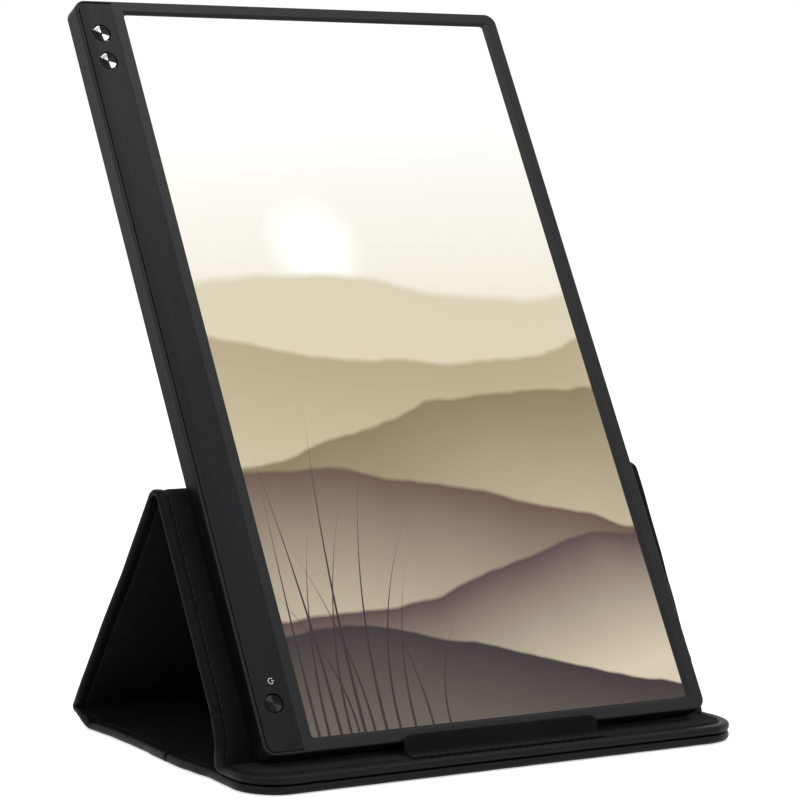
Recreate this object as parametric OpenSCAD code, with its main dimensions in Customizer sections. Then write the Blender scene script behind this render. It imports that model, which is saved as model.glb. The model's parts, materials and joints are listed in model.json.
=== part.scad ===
// Portable monitor standing upright in its folding cover.
// Origin: middle of the base panel's underside, on the table. +X right, +Y away from the viewer, +Z up.

/* [Cover] */
// Width of every cover panel, across the fold lines
cover_w = 250; // [235:1:300]
// Depth of the base panel, front edge to the fold behind it
base_d = 148.2; // [125:1:180]
// Depth of the ledge that the monitor stands on
ledge_d = 29.6; // [26:0.5:36]
// Length of the short riser between ledge and backrest
riser_l = 21.6; // [17:0.5:26]
// Slope of the riser from the table
riser_slope = 75; // [68:1:85]
// Length of the backrest, fold to fold, measured on its outer side
backrest_l = 106.5; // [88:0.5:128]
// Lean of the backrest and of the monitor, back from vertical
tilt = 31; // [24:0.5:36]
// Width of the spine between leg and base
spine_l = 15.8; // [13:0.2:19]
// Rise of the spine from the base; with the sizes above it settles the length of the rear leg
spine_rise = 28.2; // [20:0.2:40]
// Thickness of a cover panel
panel_t = 3.8; // [3.4:0.1:5]
// Corner radius at the front of base and ledge
cover_corner_r = 19; // [12:1:24]
// Width of the turned and stitched border
border_w = 5; // [4:0.5:8]
// Thickness of the leather
leather_t = 0.9; // [0.7:0.1:1.2]
// Thickness of the suede cloth that faces the monitor
lining_t = 0.8; // [0.4:0.1:0.9]
// Radius of the soft fold at the top of the stand, on its outer side
apex_fold_r = 6.6; // [5.5:0.1:8]

/* [Lip flap] */
// Width of the flap that stops the monitor sliding forward
flap_w = 98; // [80:1:130]
// Distance that the flap sits to the right of the cover's middle
flap_offset = 2.5; // [-8:0.1:8]
// Height of the flap, along its slope
flap_h = 8.8; // [6:0.2:10]
// Thickness of the flap
flap_t = 1.8; // [1.6:0.1:2.4]
// Play between the flap's back and the monitor's lower front edge
flap_play = 0.87; // [0.4:0.01:1.6]
// Lean of the flap, back from vertical
flap_lean = 15; // [5:1:25]

/* [Monitor] */
// Width of the monitor as it stands
monitor_w = 225.5; // [210:0.5:250]
// Height of the monitor along its slope
monitor_h = 357; // [300:0.5:430]
// Thickness of the monitor
monitor_t = 10; // [9.8:0.1:13]
// Outer corner radius
monitor_corner_r = 5.5; // [4.5:0.5:9]
// Distance that the monitor stands to the right of the cover's middle
monitor_offset = 0.9; // [-5:0.1:5]
// Width of the lit picture area
picture_w = 193.6; // [170:0.1:195]
// Height of the lit picture area
picture_h = 344.2; // [280:0.1:345]
// Bezel at the right of the picture
bezel_right = 8.3; // [6:0.1:10]
// Bezel under the picture
bezel_bottom = 6.3; // [5.5:0.1:9]
// Plain strip between the chin plate and the picture
bezel_chin = 5.5; // [4.5:0.1:8]
// Rim outside the groove round the chin plate
rim_w = 1; // [0.8:0.1:1.6]
// Groove between the rim and the chin plate
groove_w = 0.7; // [0.5:0.1:1]
// Depth of the picture below the front face
picture_recess = 0.8; // [0.6:0.1:1.2]
// Thickness of the rear cover's plate
rear_t = 1.5; // [1.2:0.1:2]
// Thickness of the front frame's side walls
wall_t = 2; // [1.6:0.1:2.5]

/* [Buttons] */
// Diameter of a button cap
button_d = 8; // [6:0.2:9]
// Travel of a button
button_travel = 0.5; // [0.3:0.1:0.7]
// Distance of the upper button from the monitor's top edge
menu_from_top = 16.9; // [16:0.1:24]
// Distance between the two upper buttons
button_pitch = 14.1; // [12:0.1:18]
// Distance of the power button from the monitor's bottom edge
power_from_bottom = 22.4; // [16:0.1:40]

/* [Hidden] */
$fn = 64;

// Clearances
seat_gap = 0.3;       // between pieces that rest on each other and come apart
fold_gap = 0.3;       // between a fold's leather and the panel that turns round it
fit_gap = 0.1;        // between pieces that are assembled for good
contact_gap = 0.2;    // between the ledge and the base it is held to by magnets
over = 1;             // overshoot of a cutting shape

// ---- Cover: the folded chain, seen from the side -------------------------------------------------
// Points are [y, z] on the cover's outer side in the stand, which faces the monitor, where the outer
// sides of neighbouring panels would meet.
fold_r = panel_t + 0.4;            // depth of an ordinary fold's axis under the outer side
fold_band_t = 1.6;                 // leather and cloth together, where they bend round a fold
edge_r = panel_t / 2 - 0.1;        // rounding of a panel's long edges
ledge_top = 2 * panel_t + contact_gap;

base_rear = [base_d / 2, 0];
ledge_front = [-base_d / 2, ledge_top];
ledge_rear = [ledge_front[0] + ledge_d, ledge_top];
riser_top = ledge_rear + riser_l * [cos(riser_slope), sin(riser_slope)];
apex = riser_top + backrest_l * [sin(tilt), cos(tilt)];
heel = base_rear + spine_l * [cos(spine_rise), sin(spine_rise)];
leg_l = norm(apex - heel);

function slope(from, to) = atan2(to[1] - from[1], to[0] - from[0]);
backrest_slope = 90 - tilt;
leg_slope = slope(apex, heel);
spine_slope = spine_rise - 180;
base_slope = -180;

// Turn at each fold, from the panel before it to the panel after it
riser_turn = riser_slope;
backrest_turn = riser_slope - backrest_slope;
leg_turn = backrest_slope - leg_slope;
spine_turn = leg_slope - spine_slope;
base_turn = spine_slope - base_slope;

// Distance of a fold's axis from the corner of the two outer sides, along either panel
function setback(r, turn) = r * tan(turn / 2);
backrest_set = setback(fold_r, backrest_turn);
leg_set = setback(apex_fold_r, leg_turn);
spine_set = setback(fold_r, spine_turn);
base_set = setback(fold_r, base_turn);

// Position [y, z] of a fold's axis: the corner, moved back along the panel after it and sunk in
function axis_at(corner, angle, set, r) =
    corner + set * [cos(angle), sin(angle)] + r * [sin(angle), -cos(angle)];
echo(riser_axis = ledge_rear, riser_turn = riser_turn);
echo(backrest_axis = axis_at(riser_top, backrest_slope, backrest_set, fold_r), turn = backrest_turn);
echo(leg_axis = axis_at(apex, leg_slope, leg_set, apex_fold_r), turn = leg_turn);
echo(spine_axis = axis_at(heel, spine_slope, spine_set, fold_r), turn = spine_turn);
echo(base_axis = axis_at(base_rear, base_slope, base_set, fold_r), turn = base_turn);

board_t = panel_t - 2 * leather_t;
board_inset = edge_r + 0.1;
board_fold_inset = 4.5;            // boards start this far behind the end that is hollowed for a fold
board_band_inset = 1.2;            // and stop this far before the end that carries a fold's leather
magnet_d = 10;
magnet_t = 1.2;
magnet_x = [0.18 * cover_w, 0.41 * cover_w];   // either side of the middle
band_w = cover_w - 2 * edge_r;

// ---- Monitor: x across, y up along the slope, z out of the screen, z = 0 at the back ---------------
// The back lies along the backrest, and the lower rear edge stands on the ledge
rear_line_y = riser_top[0] - (riser_top[1] - ledge_top - seat_gap) * tan(tilt);
monitor_foot = [rear_line_y - seat_gap / cos(tilt), ledge_top + seat_gap];
monitor_lip = monitor_foot + monitor_t * [-cos(tilt), sin(tilt)];     // lower front edge

front_z = monitor_t;
glass_z = front_z - picture_recess;       // front of the glass
glass_t = 1.2;
films_t = 0.6;
guide_t = 1.8;
tray_t = 0.5;
panel_ring_w = 2;
films_top = glass_z - glass_t;
guide_top = films_top - films_t;
tray_top = guide_top - guide_t;           // inside floor of the tray
tray_z = tray_top - tray_t;

picture_x1 = monitor_w / 2 - bezel_right;
picture_x0 = picture_x1 - picture_w;
picture_y0 = bezel_bottom;
picture_y1 = picture_y0 + picture_h;
bevel = [0.4, 2.5, 1.5, 1.5];             // width of the sloped edge: left, right, bottom, top
frame_edge_r = 0.9;
cavity_x = monitor_w / 2 - wall_t;
module_margin = 0.7;                      // clearance of the display module inside the walls
module_x0 = picture_x0 - 4.7;
module_x1 = cavity_x - module_margin;
module_y0 = wall_t + module_margin;
module_y1 = monitor_h - wall_t - module_margin;

plate_t = 0.6;
web_t = 0.8;                              // web of the frame under the chin plate
plate_x0 = -monitor_w / 2 + rim_w + groove_w;
plate_x1 = picture_x0 - bezel_chin;
plate_y0 = rim_w + groove_w;
plate_y1 = monitor_h - rim_w - groove_w;
plate_corner_r = monitor_corner_r - rim_w - groove_w;
web_z = front_z - plate_t - web_t;        // underside of the web

button_x = (plate_x0 + plate_x1) / 2;
menu_y = monitor_h - menu_from_top;
input_y = menu_y - button_pitch;
power_y = power_from_bottom;
flange_d = button_d + 2;
flange_t = 0.8;
flange_z = web_z - seat_gap - flange_t;   // underside of a button's flange
button_clear = 0.4;                       // round a cap in the plate and the web
cap_chamfer = 0.3;
cap_rim = 0.7;                            // flat-topped rim round the dish, chamfer included
cap_dish = 0.2;                           // depth of the dish
switch_gap = button_travel + 0.1;         // a pressed button stops just short of its switch
plunger_d = 3;
plunger_t = 0.6;
switch_w = 5.2;
switch_t = 1.6;
button_board_t = 1;
switch_z = flange_z - switch_gap - plunger_t - switch_t;
button_board_z = switch_z - button_board_t;
button_board_w = 13;
button_board_end = 9;                     // board beyond the outermost button's centre

main_board_z = rear_t + 0.8;
main_board_t = 1;
main_board_top = main_board_z + main_board_t;
main_board_x0 = module_x0 + 3;
main_board_w = 62;
main_board_y1 = monitor_h - wall_t - 4;
main_board_l = 108;
tab_x0 = -cavity_x + 3;                   // tab of the main board under the socket
tab_l = 8;
chip_t = 1;
can_t = 0.3;
can_h = tray_z - main_board_top - 0.2;
can_w = 34;
can_l = 28;
can_x = main_board_x0 + 16;
can_y = main_board_y1 - 52;

socket_w = 8.94;
socket_h = 3.26;
socket_l = 7.35;
socket_wall = 0.3;
socket_x = tab_x0 + socket_w / 2 + 2;
socket_mouth_y = monitor_h - 0.2;
socket_clear = 0.3;

screw_d = 2;
screw_head_d = 3.6;
screw_head_t = 0.8;
post_d = 4.4;
screw_inset = 3.4;
main_board_screws = [
    [main_board_x0 + screw_inset, main_board_y1 - main_board_l + screw_inset],
    [main_board_x0 + main_board_w - screw_inset, main_board_y1 - main_board_l + screw_inset],
    [main_board_x0 + main_board_w - screw_inset, main_board_y1 - screw_inset],
    [main_board_x0 + screw_inset, main_board_y1 - 3 * tab_l]
];

driver_w = 9;
driver_t = 0.9;
driver_x0 = module_x0 + 0.8;
driver_y0 = 60;
driver_l = main_board_y1 - main_board_l - 24 - driver_y0;
cable_t = 0.2;
cable_w = 8;
button_cable_w = 3;
led_count = 24;
led_t = 0.7;

// ---- Lip flap: its back passes just in front of the monitor's lower front edge ---------------------
flap_axis_z = ledge_top + seat_gap;
flap_axis = [monitor_lip[0] - flap_play - flap_t / cos(flap_lean)
                 - (monitor_lip[1] - flap_axis_z) * tan(flap_lean), flap_axis_z];
echo(flap_axis = flap_axis);
flap_foot = 0.8;                   // the flap starts this far from its fold
flap_corner_r = 3.5;
flap_core_t = 0.7;
flap_core_inset = 1.6;

leather_colour = [0.13, 0.13, 0.13];
suede_colour = [0.10, 0.10, 0.10];
shell_colour = [0.22, 0.22, 0.23];
plate_colour = [0.24, 0.24, 0.25];
metal_colour = [0.6, 0.6, 0.62];
board_colour = [0.35, 0.33, 0.30];
circuit_colour = [0.08, 0.25, 0.16];

// ---- Shared shapes --------------------------------------------------------------------------------

// Cross-section of a slab's edge: from x = -depth to x = 0, rounded at its upper and lower corner
module edge_section(depth, z0, z1, r_top, r_bottom) {
    translate([-depth, z0 + r_bottom]) square([depth, z1 - z0 - r_top - r_bottom]);
    translate([-depth, z0]) square([depth - r_bottom, r_bottom + 0.01]);
    translate([-depth, z1 - r_top - 0.01]) square([depth - r_top, r_top + 0.01]);
    intersection() {
        translate([-depth, z0]) square([depth, z1 - z0]);
        union() {
            if (r_top > 0) translate([-r_top, z1 - r_top]) circle(r_top);
            if (r_bottom > 0) translate([-r_bottom, z0 + r_bottom]) circle(r_bottom);
        }
    }
}

// Slab centred on x, from y = 0 to y = l, with rounded edges. Its corners are rounded in plan with
// radius r0 at y = 0 and r1 at y = l; an end with radius 0 is cut square, for a fold.
module slab(w, l, z0, z1, r0, r1, r_top, r_bottom) {
    for (side = [-1, 1]) {
        // long sides
        translate([0, l - r1, 0]) rotate([90, 0, 0]) linear_extrude(l - r0 - r1)
            scale([side, 1]) translate([w / 2, 0]) edge_section(w / 2, z0, z1, r_top, r_bottom);
        if (r0 > 0) translate([side * (w / 2 - r0), r0, 0]) rotate([0, 0, side > 0 ? -90 : 180])
            rotate_extrude(angle = 90) translate([r0, 0]) edge_section(r0, z0, z1, r_top, r_bottom);
        if (r1 > 0) translate([side * (w / 2 - r1), l - r1, 0]) rotate([0, 0, side > 0 ? 0 : 90])
            rotate_extrude(angle = 90) translate([r1, 0]) edge_section(r1, z0, z1, r_top, r_bottom);
    }
    if (r0 > 0) translate([-w / 2 + r0, r0, 0]) rotate([90, 0, 90]) linear_extrude(w - 2 * r0)
        scale([-1, 1]) translate([r0, 0]) edge_section(r0, z0, z1, r_top, r_bottom);
    if (r1 > 0) translate([-w / 2 + r1, l - r1, 0]) rotate([90, 0, 90]) linear_extrude(w - 2 * r1)
        translate([r1, 0]) edge_section(r1, z0, z1, r_top, r_bottom);
}

// Plan of a rectangle centred on x, from y0 to y1, with corner radius r0 at y0 and r1 at y1
module plan(w, y0, y1, r0, r1) {
    intersection() {
        translate([-w / 2, y0]) square([w, y1 - y0]);
        union() {
            translate([-w / 2, y0 + r0]) square([w, y1 - y0 - r0 - r1]);
            if (r0 > 0) {
                translate([-w / 2 + r0, y0]) square([w - 2 * r0, r0 + 0.01]);
                for (side = [-1, 1]) translate([side * (w / 2 - r0), y0 + r0]) circle(r0);
            }
            if (r1 > 0) {
                translate([-w / 2 + r1, y1 - r1 - 0.01]) square([w - 2 * r1, r1 + 0.01]);
                for (side = [-1, 1]) translate([side * (w / 2 - r1), y1 - r1]) circle(r1);
            }
        }
    }
}

// Block from corner to corner
module block(x0, x1, y0, y1, z0, z1) {
    translate([x0, y0, z0]) cube([x1 - x0, y1 - y0, z1 - z0]);
}

// Part of a ring between two radii and two angles, spanning less than 170 degrees
module sector(r0, r1, a0, a1) {
    step = (a1 - a0) / 3;
    far = 2 * r1;
    intersection() {
        difference() {
            circle(r1);
            if (r0 > 0) circle(r0);
        }
        polygon(concat([[0, 0]], [for (i = [0:3]) far * [cos(a0 + i * step), sin(a0 + i * step)]]));
    }
}

// Sideways extrusion of a profile drawn in y and z
module along_x(w) {
    rotate([90, 0, 90]) linear_extrude(w, center = true) children();
}

// ---- Cover ------------------------------------------------------------------------------------------

// Puts a panel drawn flat (y along the chain, outer side at z = 0) at its place in the folded chain
module on_panel(start, angle) {
    translate([0, start[0], start[1]]) rotate([angle, 0, 0]) children();
}

// Hole that a fold needs in the end of the panel that turns round it
module fold_cut(set, r) {
    translate([0, set, -r]) rotate([0, 90, 0]) cylinder(r = (r > 0 ? r : fold_r) - 0.2, h = cover_w + 2 * over, center = true);
}

// Leather and cloth bent round a fold at the end of a panel of length l
module fold_band(l, set, r, turn) {
    outer = r - 0.2 - fold_gap;
    inner = outer - fold_band_t;
    translate([0, l - set, -r]) along_x(band_w) {
        sector(inner, outer, 90 - turn, 90);
        translate([-fold_gap / 2 - over, inner]) square([fold_gap / 2 + over, r - leather_t - inner]);
    }
}

// Valley fold, whose axis lies on the outer side. The leather bends round it at the end of a panel of
// length l, and stops where the cloth of the next panel comes down when the two are laid flat.
module valley_band(l) {
    outer = fold_r - 0.2 - fold_gap;
    inner = outer - fold_band_t;
    translate([0, l, 0]) along_x(band_w) {
        sector(inner, outer, -90, -asin((leather_t + fold_gap / 2) / inner));
        translate([-over, -outer]) square([over, fold_band_t]);
    }
}

// Border of the next panel, running on to the axis of the valley fold
module valley_strips() {
    for (side = [-1, 1]) scale([side, 1, 1])
        block(cover_w / 2 - border_w, band_w / 2, half_gap, fold_r, -leather_t, 0);
}

// Leather of one panel: a plate with rounded edges, hollow for the board, open on its outer side inside
// the border, for the cloth. y0 and y1 are its ends; r0 and r1 its corner radii there, 0 at a fold.
module panel_leather(y0, y1, r0, r1) {
    difference() {
        translate([0, y0, 0]) slab(cover_w, y1 - y0, -panel_t, 0, r0, r1, edge_r, edge_r);
        translate([0, 0, -leather_t - board_t]) linear_extrude(board_t) board_plan(y0, y1, r0, r1, 0);
        translate([0, 0, -leather_t - 0.01]) linear_extrude(leather_t + over + 0.01)
            lining_plan(y0, y1, r0, r1, 0);
    }
}

function end_inset(r, free, fold) = r > 0 ? free : fold;

module board_plan(y0, y1, r0, r1, gap) {
    plan(cover_w - 2 * board_inset - 2 * gap,
         y0 + end_inset(r0, board_inset, board_fold_inset) + gap,
         y1 - end_inset(r1, board_inset, board_band_inset) - gap,
         max(r0 - board_inset - gap, 0), max(r1 - board_inset - gap, 0));
}

module lining_plan(y0, y1, r0, r1, gap) {
    plan(cover_w - 2 * border_w - 2 * gap,
         y0 + end_inset(r0, border_w, -over + gap), y1 - end_inset(r1, border_w, -over + gap),
         max(r0 - border_w - gap, 0), max(r1 - border_w - gap, 0));
}

module panel_board(y0, y1, r0, r1) {
    translate([0, 0, -leather_t - board_t]) linear_extrude(board_t) board_plan(y0, y1, r0, r1, fit_gap / 2);
}

module panel_lining(y0, y1, r0, r1) {
    intersection() {
        translate([0, 0, -leather_t]) linear_extrude(lining_t) lining_plan(y0, y1, r0, r1, fit_gap / 2);
        block(-cover_w, cover_w, y0, y1, -panel_t, 0);
    }
}

// Ends of each panel, along the chain
half_gap = fold_gap / 2;
ledge_ends = [0, ledge_d - half_gap];
riser_ends = [half_gap, riser_l - backrest_set - half_gap];
backrest_ends = [backrest_set + half_gap, backrest_l - leg_set - half_gap];
leg_ends = [leg_set + half_gap, leg_l - spine_set - half_gap];
spine_ends = [spine_set + half_gap, spine_l - base_set - half_gap];
base_ends = [base_set + half_gap, base_d];

// Row of four magnets, or of the pockets for them where gap is more than 0
module magnets(y, z, gap) {
    for (side = [-1, 1], x = magnet_x)
        translate([side * x, y, z - gap]) cylinder(d = magnet_d + 2 * gap, h = magnet_t + 2 * gap);
}

magnet_z = -leather_t - board_t;
ledge_magnet_y = ledge_d / 2;
base_magnet_y = base_d - ledge_d / 2;

module ledge_skin() {
    color(leather_colour) on_panel(ledge_front, 0) {
        panel_leather(ledge_ends[0], ledge_ends[1], cover_corner_r, 0);
        valley_band(ledge_d);
    }
}

module ledge_board() {
    color(board_colour) on_panel(ledge_front, 0) difference() {
        panel_board(ledge_ends[0], ledge_ends[1], cover_corner_r, 0);
        magnets(ledge_magnet_y, magnet_z, fit_gap);
    }
}

module ledge_lining() {
    color(suede_colour) on_panel(ledge_front, 0)
        panel_lining(ledge_ends[0], ledge_ends[1], cover_corner_r, 0);
}

module ledge_magnets() {
    color(metal_colour) on_panel(ledge_front, 0) magnets(ledge_magnet_y, magnet_z, 0);
}

module riser_skin() {
    color(leather_colour) on_panel(ledge_rear, riser_slope) {
        difference() {
            panel_leather(riser_ends[0], riser_ends[1], 0, 0);
            fold_cut(0, 0);
        }
        valley_strips();
        fold_band(riser_l, backrest_set, fold_r, backrest_turn);
    }
}

module riser_board() {
    color(board_colour) on_panel(ledge_rear, riser_slope) panel_board(riser_ends[0], riser_ends[1], 0, 0);
}

module riser_lining() {
    color(suede_colour) on_panel(ledge_rear, riser_slope) panel_lining(riser_ends[0], riser_ends[1], 0, 0);
}

module backrest_skin() {
    color(leather_colour) on_panel(riser_top, backrest_slope) {
        difference() {
            panel_leather(backrest_ends[0], backrest_ends[1], 0, 0);
            fold_cut(backrest_set, fold_r);
        }
        fold_band(backrest_l, leg_set, apex_fold_r, leg_turn);
    }
}

module backrest_board() {
    color(board_colour) on_panel(riser_top, backrest_slope)
        panel_board(backrest_ends[0], backrest_ends[1], 0, 0);
}

module backrest_lining() {
    color(suede_colour) on_panel(riser_top, backrest_slope) difference() {
        panel_lining(backrest_ends[0], backrest_ends[1], 0, 0);
        fold_cut(backrest_set, fold_r);
    }
}

module leg_skin() {
    color(leather_colour) on_panel(apex, leg_slope) {
        difference() {
            panel_leather(leg_ends[0], leg_ends[1], 0, 0);
            fold_cut(leg_set, apex_fold_r);
        }
        fold_band(leg_l, spine_set, fold_r, spine_turn);
    }
}

module leg_board() {
    color(board_colour) on_panel(apex, leg_slope) difference() {
        panel_board(leg_ends[0], leg_ends[1], 0, 0);
        fold_cut(leg_set, apex_fold_r);
    }
}

module leg_lining() {
    color(suede_colour) on_panel(apex, leg_slope) difference() {
        panel_lining(leg_ends[0], leg_ends[1], 0, 0);
        fold_cut(leg_set, apex_fold_r);
    }
}

module spine_skin() {
    color(leather_colour) on_panel(heel, spine_slope) {
        difference() {
            panel_leather(spine_ends[0], spine_ends[1], 0, 0);
            fold_cut(spine_set, fold_r);
        }
        fold_band(spine_l, base_set, fold_r, base_turn);
    }
}

module spine_board() {
    color(board_colour) on_panel(heel, spine_slope) panel_board(spine_ends[0], spine_ends[1], 0, 0);
}

module spine_lining() {
    color(suede_colour) on_panel(heel, spine_slope) difference() {
        panel_lining(spine_ends[0], spine_ends[1], 0, 0);
        fold_cut(spine_set, fold_r);
    }
}

module base_skin() {
    color(leather_colour) on_panel(base_rear, base_slope) difference() {
        panel_leather(base_ends[0], base_ends[1], 0, cover_corner_r);
        fold_cut(base_set, fold_r);
    }
}

module base_board() {
    color(board_colour) on_panel(base_rear, base_slope) difference() {
        panel_board(base_ends[0], base_ends[1], 0, cover_corner_r);
        magnets(base_magnet_y, magnet_z, fit_gap);
    }
}

module base_lining() {
    color(suede_colour) on_panel(base_rear, base_slope) difference() {
        panel_lining(base_ends[0], base_ends[1], 0, cover_corner_r);
        fold_cut(base_set, fold_r);
    }
}

module base_magnets() {
    color(metal_colour) on_panel(base_rear, base_slope) magnets(base_magnet_y, magnet_z, 0);
}

// Flap frame: y up along the flap, z towards the viewer, the fold along x at the origin
module on_flap() {
    translate([flap_offset, flap_axis[0], flap_axis[1]]) rotate([90 - flap_lean, 0, 0]) children();
}

flap_core_z = -(flap_t + flap_core_t) / 2;

module lip_flap() {
    color(suede_colour) on_flap() difference() {
        translate([0, 0, -flap_t]) linear_extrude(flap_t) plan(flap_w, flap_foot, flap_h, 0, flap_corner_r);
        translate([0, 0, flap_core_z]) linear_extrude(flap_core_t)
            plan(flap_w - 2 * flap_core_inset, flap_foot + flap_core_inset, flap_h - flap_core_inset,
                 0, flap_corner_r - flap_core_inset);
    }
}

module lip_core() {
    color(board_colour) on_flap() translate([0, 0, flap_core_z]) linear_extrude(flap_core_t)
        plan(flap_w - 2 * flap_core_inset - fit_gap, flap_foot + flap_core_inset + fit_gap / 2,
             flap_h - flap_core_inset - fit_gap / 2, 0, flap_corner_r - flap_core_inset - fit_gap / 2);
}

// ---- Monitor ----------------------------------------------------------------------------------------

module on_monitor() {
    translate([monitor_offset, monitor_foot[0], monitor_foot[1]]) rotate([90 - tilt, 0, 0]) children();
}

module at_buttons() {
    for (y = [menu_y, input_y, power_y]) translate([button_x, y, 0]) children();
}

module rear_cover() {
    lip_w = monitor_w - 2 * wall_t - 2 * fit_gap;
    lip_t = 1;
    lip_r = monitor_corner_r - wall_t - fit_gap;
    lip_h = 2;
    color(shell_colour) on_monitor() difference() {
        union() {
            slab(monitor_w, monitor_h, 0, rear_t, monitor_corner_r, monitor_corner_r, 0, 0.8);
            difference() {
                linear_extrude(rear_t + lip_h)
                    plan(lip_w, wall_t + fit_gap, monitor_h - wall_t - fit_gap, lip_r, lip_r);
                translate([0, 0, rear_t]) linear_extrude(lip_h + over)
                    plan(lip_w - 2 * lip_t, wall_t + fit_gap + lip_t, monitor_h - wall_t - fit_gap - lip_t,
                         lip_r - lip_t, lip_r - lip_t);
                // notch in the lip, for the socket
                block(socket_x - socket_w / 2 - 1, socket_x + socket_w / 2 + 1,
                      monitor_h - 2 * wall_t, monitor_h, rear_t + 0.2, rear_t + lip_h + over);
            }
            for (p = main_board_screws) translate([p[0], p[1], rear_t / 2])
                cylinder(d = post_d, h = main_board_z - rear_t / 2);
            translate([socket_x, main_board_y1 - tab_l / 2, rear_t / 2])
                cylinder(d = post_d, h = main_board_z - rear_t / 2);
            for (y = button_posts) translate([button_x, y, rear_t / 2])
                cylinder(d = post_d, h = button_board_z - rear_t / 2);
        }
        for (p = main_board_screws) translate([p[0], p[1], rear_t - 0.7]) cylinder(d = screw_d, h = 10);
    }
}

upper_board = [input_y - button_board_end, min(menu_y + 5, main_board_y1 - tab_l - 1)];
lower_board = [power_y - button_board_end, power_y + button_board_end];
button_posts = [upper_board[0] + 3, upper_board[1] - 3, lower_board[0] + 3, lower_board[1] - 3];

// Wedge that slopes one side of the picture opening: side 0 left, 1 right, 2 bottom, 3 top
module bevel_wedge(side, extra) {
    along_y = side < 2;
    from = (along_y ? picture_y0 : picture_x0) - extra;
    to = (along_y ? picture_y1 : picture_x1) + extra;
    edge = [picture_x0, picture_x1, picture_y0, picture_y1][side];
    out = (side % 2 == 0) ? -1 : 1;
    b = bevel[side] * out;
    inside = edge - out * over;
    rise = picture_recess / bevel[side] * over;
    section = [[inside, glass_z - rise], [edge + b, front_z], [edge + b, front_z + over], [inside, front_z + over]];
    if (along_y) translate([0, to, 0]) rotate([90, 0, 0]) linear_extrude(to - from) polygon(section);
    else translate([from, 0, 0]) rotate([90, 0, 90]) linear_extrude(to - from) polygon(section);
}

// Sloped edges of the picture opening, mitred at its corners
module picture_bevel() {
    for (side = [0:3]) bevel_wedge(side, 0);
    for (x = [0, 1], y = [2, 3]) intersection() {
        bevel_wedge(x, 5);
        bevel_wedge(y, 5);
    }
}

module front_frame() {
    color(shell_colour) on_monitor() difference() {
        slab(monitor_w, monitor_h, rear_t, front_z, monitor_corner_r, monitor_corner_r, frame_edge_r, 0);
        // room inside the walls, below the web
        translate([0, 0, rear_t - over]) linear_extrude(web_z - rear_t + over)
            plan(2 * cavity_x, wall_t, monitor_h - wall_t, monitor_corner_r - wall_t, monitor_corner_r - wall_t);
        // room for the display module, up to the lip that holds it
        block(module_x0 - fit_gap, module_x1 + fit_gap, module_y0 - fit_gap, module_y1 + fit_gap,
              rear_t - over, glass_z);
        // picture opening and its sloped edges
        block(picture_x0, picture_x1, picture_y0, picture_y1, glass_z - over, front_z + over);
        picture_bevel();
        // seat of the chin plate, with the groove round it
        translate([0, 0, front_z - plate_t]) linear_extrude(plate_t + over) chin_outline(groove_w, fit_gap);
        at_buttons() translate([0, 0, web_z - over])
            cylinder(d = button_d + 2 * button_clear, h = web_t + plate_t + 2 * over);
        // mouth of the socket, in the top wall
        translate([socket_x, monitor_h - wall_t - over, main_board_top + socket_h / 2]) rotate([-90, 0, 0])
            linear_extrude(wall_t + 2 * over) stadium(socket_w + 2 * socket_clear, socket_h + 2 * socket_clear);
    }
}

// Outline of the chin plate, grown by one amount on its three outer sides and another on its inner one
module chin_outline(outer, inner) {
    x0 = plate_x0 - outer;
    x1 = plate_x1 + inner;
    y0 = plate_y0 - outer;
    y1 = plate_y1 + outer;
    r = plate_corner_r + outer;
    translate([x0, y0 + r]) square([x1 - x0, y1 - y0 - 2 * r]);
    translate([x0 + r, y0]) square([x1 - x0 - r, y1 - y0]);
    for (y = [y0 + r, y1 - r]) translate([x0 + r, y]) circle(r);
}

module chin_plate() {
    color(plate_colour) on_monitor() translate([0, 0, front_z - plate_t]) difference() {
        linear_extrude(plate_t) chin_outline(0, 0);
        at_buttons() translate([0, 0, -over]) cylinder(d = button_d + 2 * button_clear, h = plate_t + 2 * over);
    }
}

module lcd_glass() {
    color([0.55, 0.55, 0.5]) on_monitor()
        block(module_x0, module_x1, module_y0, module_y1, films_top, glass_z);
}

films_inset = tray_t + panel_ring_w + fit_gap;

module diffuser_films() {
    color("white") on_monitor() block(module_x0 + films_inset, module_x1 - films_inset,
        module_y0 + films_inset, module_y1 - films_inset, guide_top, films_top);
}

led_x0 = module_x0 + films_inset;

module light_guide() {
    color([0.85, 0.9, 0.9]) on_monitor() block(led_x0 + led_t + 2 * fit_gap + 0.5, module_x1 - films_inset,
        module_y0 + films_inset, module_y1 - films_inset, tray_top, guide_top);
}

// Thin bar of lamps that shines into the light guide from the chin side
module led_strip() {
    strip_y0 = module_y0 + films_inset + 1;
    strip_l = module_y1 - module_y0 - 2 * films_inset - 2;
    pitch = strip_l / led_count;
    color([0.9, 0.85, 0.5]) on_monitor() {
        block(led_x0, led_x0 + 0.5, strip_y0, strip_y0 + strip_l, tray_top, guide_top - 0.1);
        for (i = [0:led_count - 1]) {
            y = strip_y0 + (i + 0.5) * pitch;
            block(led_x0 + 0.4, led_x0 + 0.5 + led_t, y - 2, y + 2, tray_top + 0.2, guide_top - 0.3);
        }
    }
}

module panel_frame() {
    a = tray_t + fit_gap / 2;
    color([0.8, 0.8, 0.8]) on_monitor() difference() {
        block(module_x0 + a, module_x1 - a, module_y0 + a, module_y1 - a, tray_top, films_top);
        block(module_x0 + a + panel_ring_w, module_x1 - a - panel_ring_w, module_y0 + a + panel_ring_w,
              module_y1 - a - panel_ring_w, tray_top - over, films_top + over);
    }
}

module backlight_tray() {
    color(metal_colour) on_monitor() difference() {
        block(module_x0, module_x1, module_y0, module_y1, tray_z, films_top);
        block(module_x0 + tray_t, module_x1 - tray_t, module_y0 + tray_t, module_y1 - tray_t,
              tray_top, films_top + over);
    }
}

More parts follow.
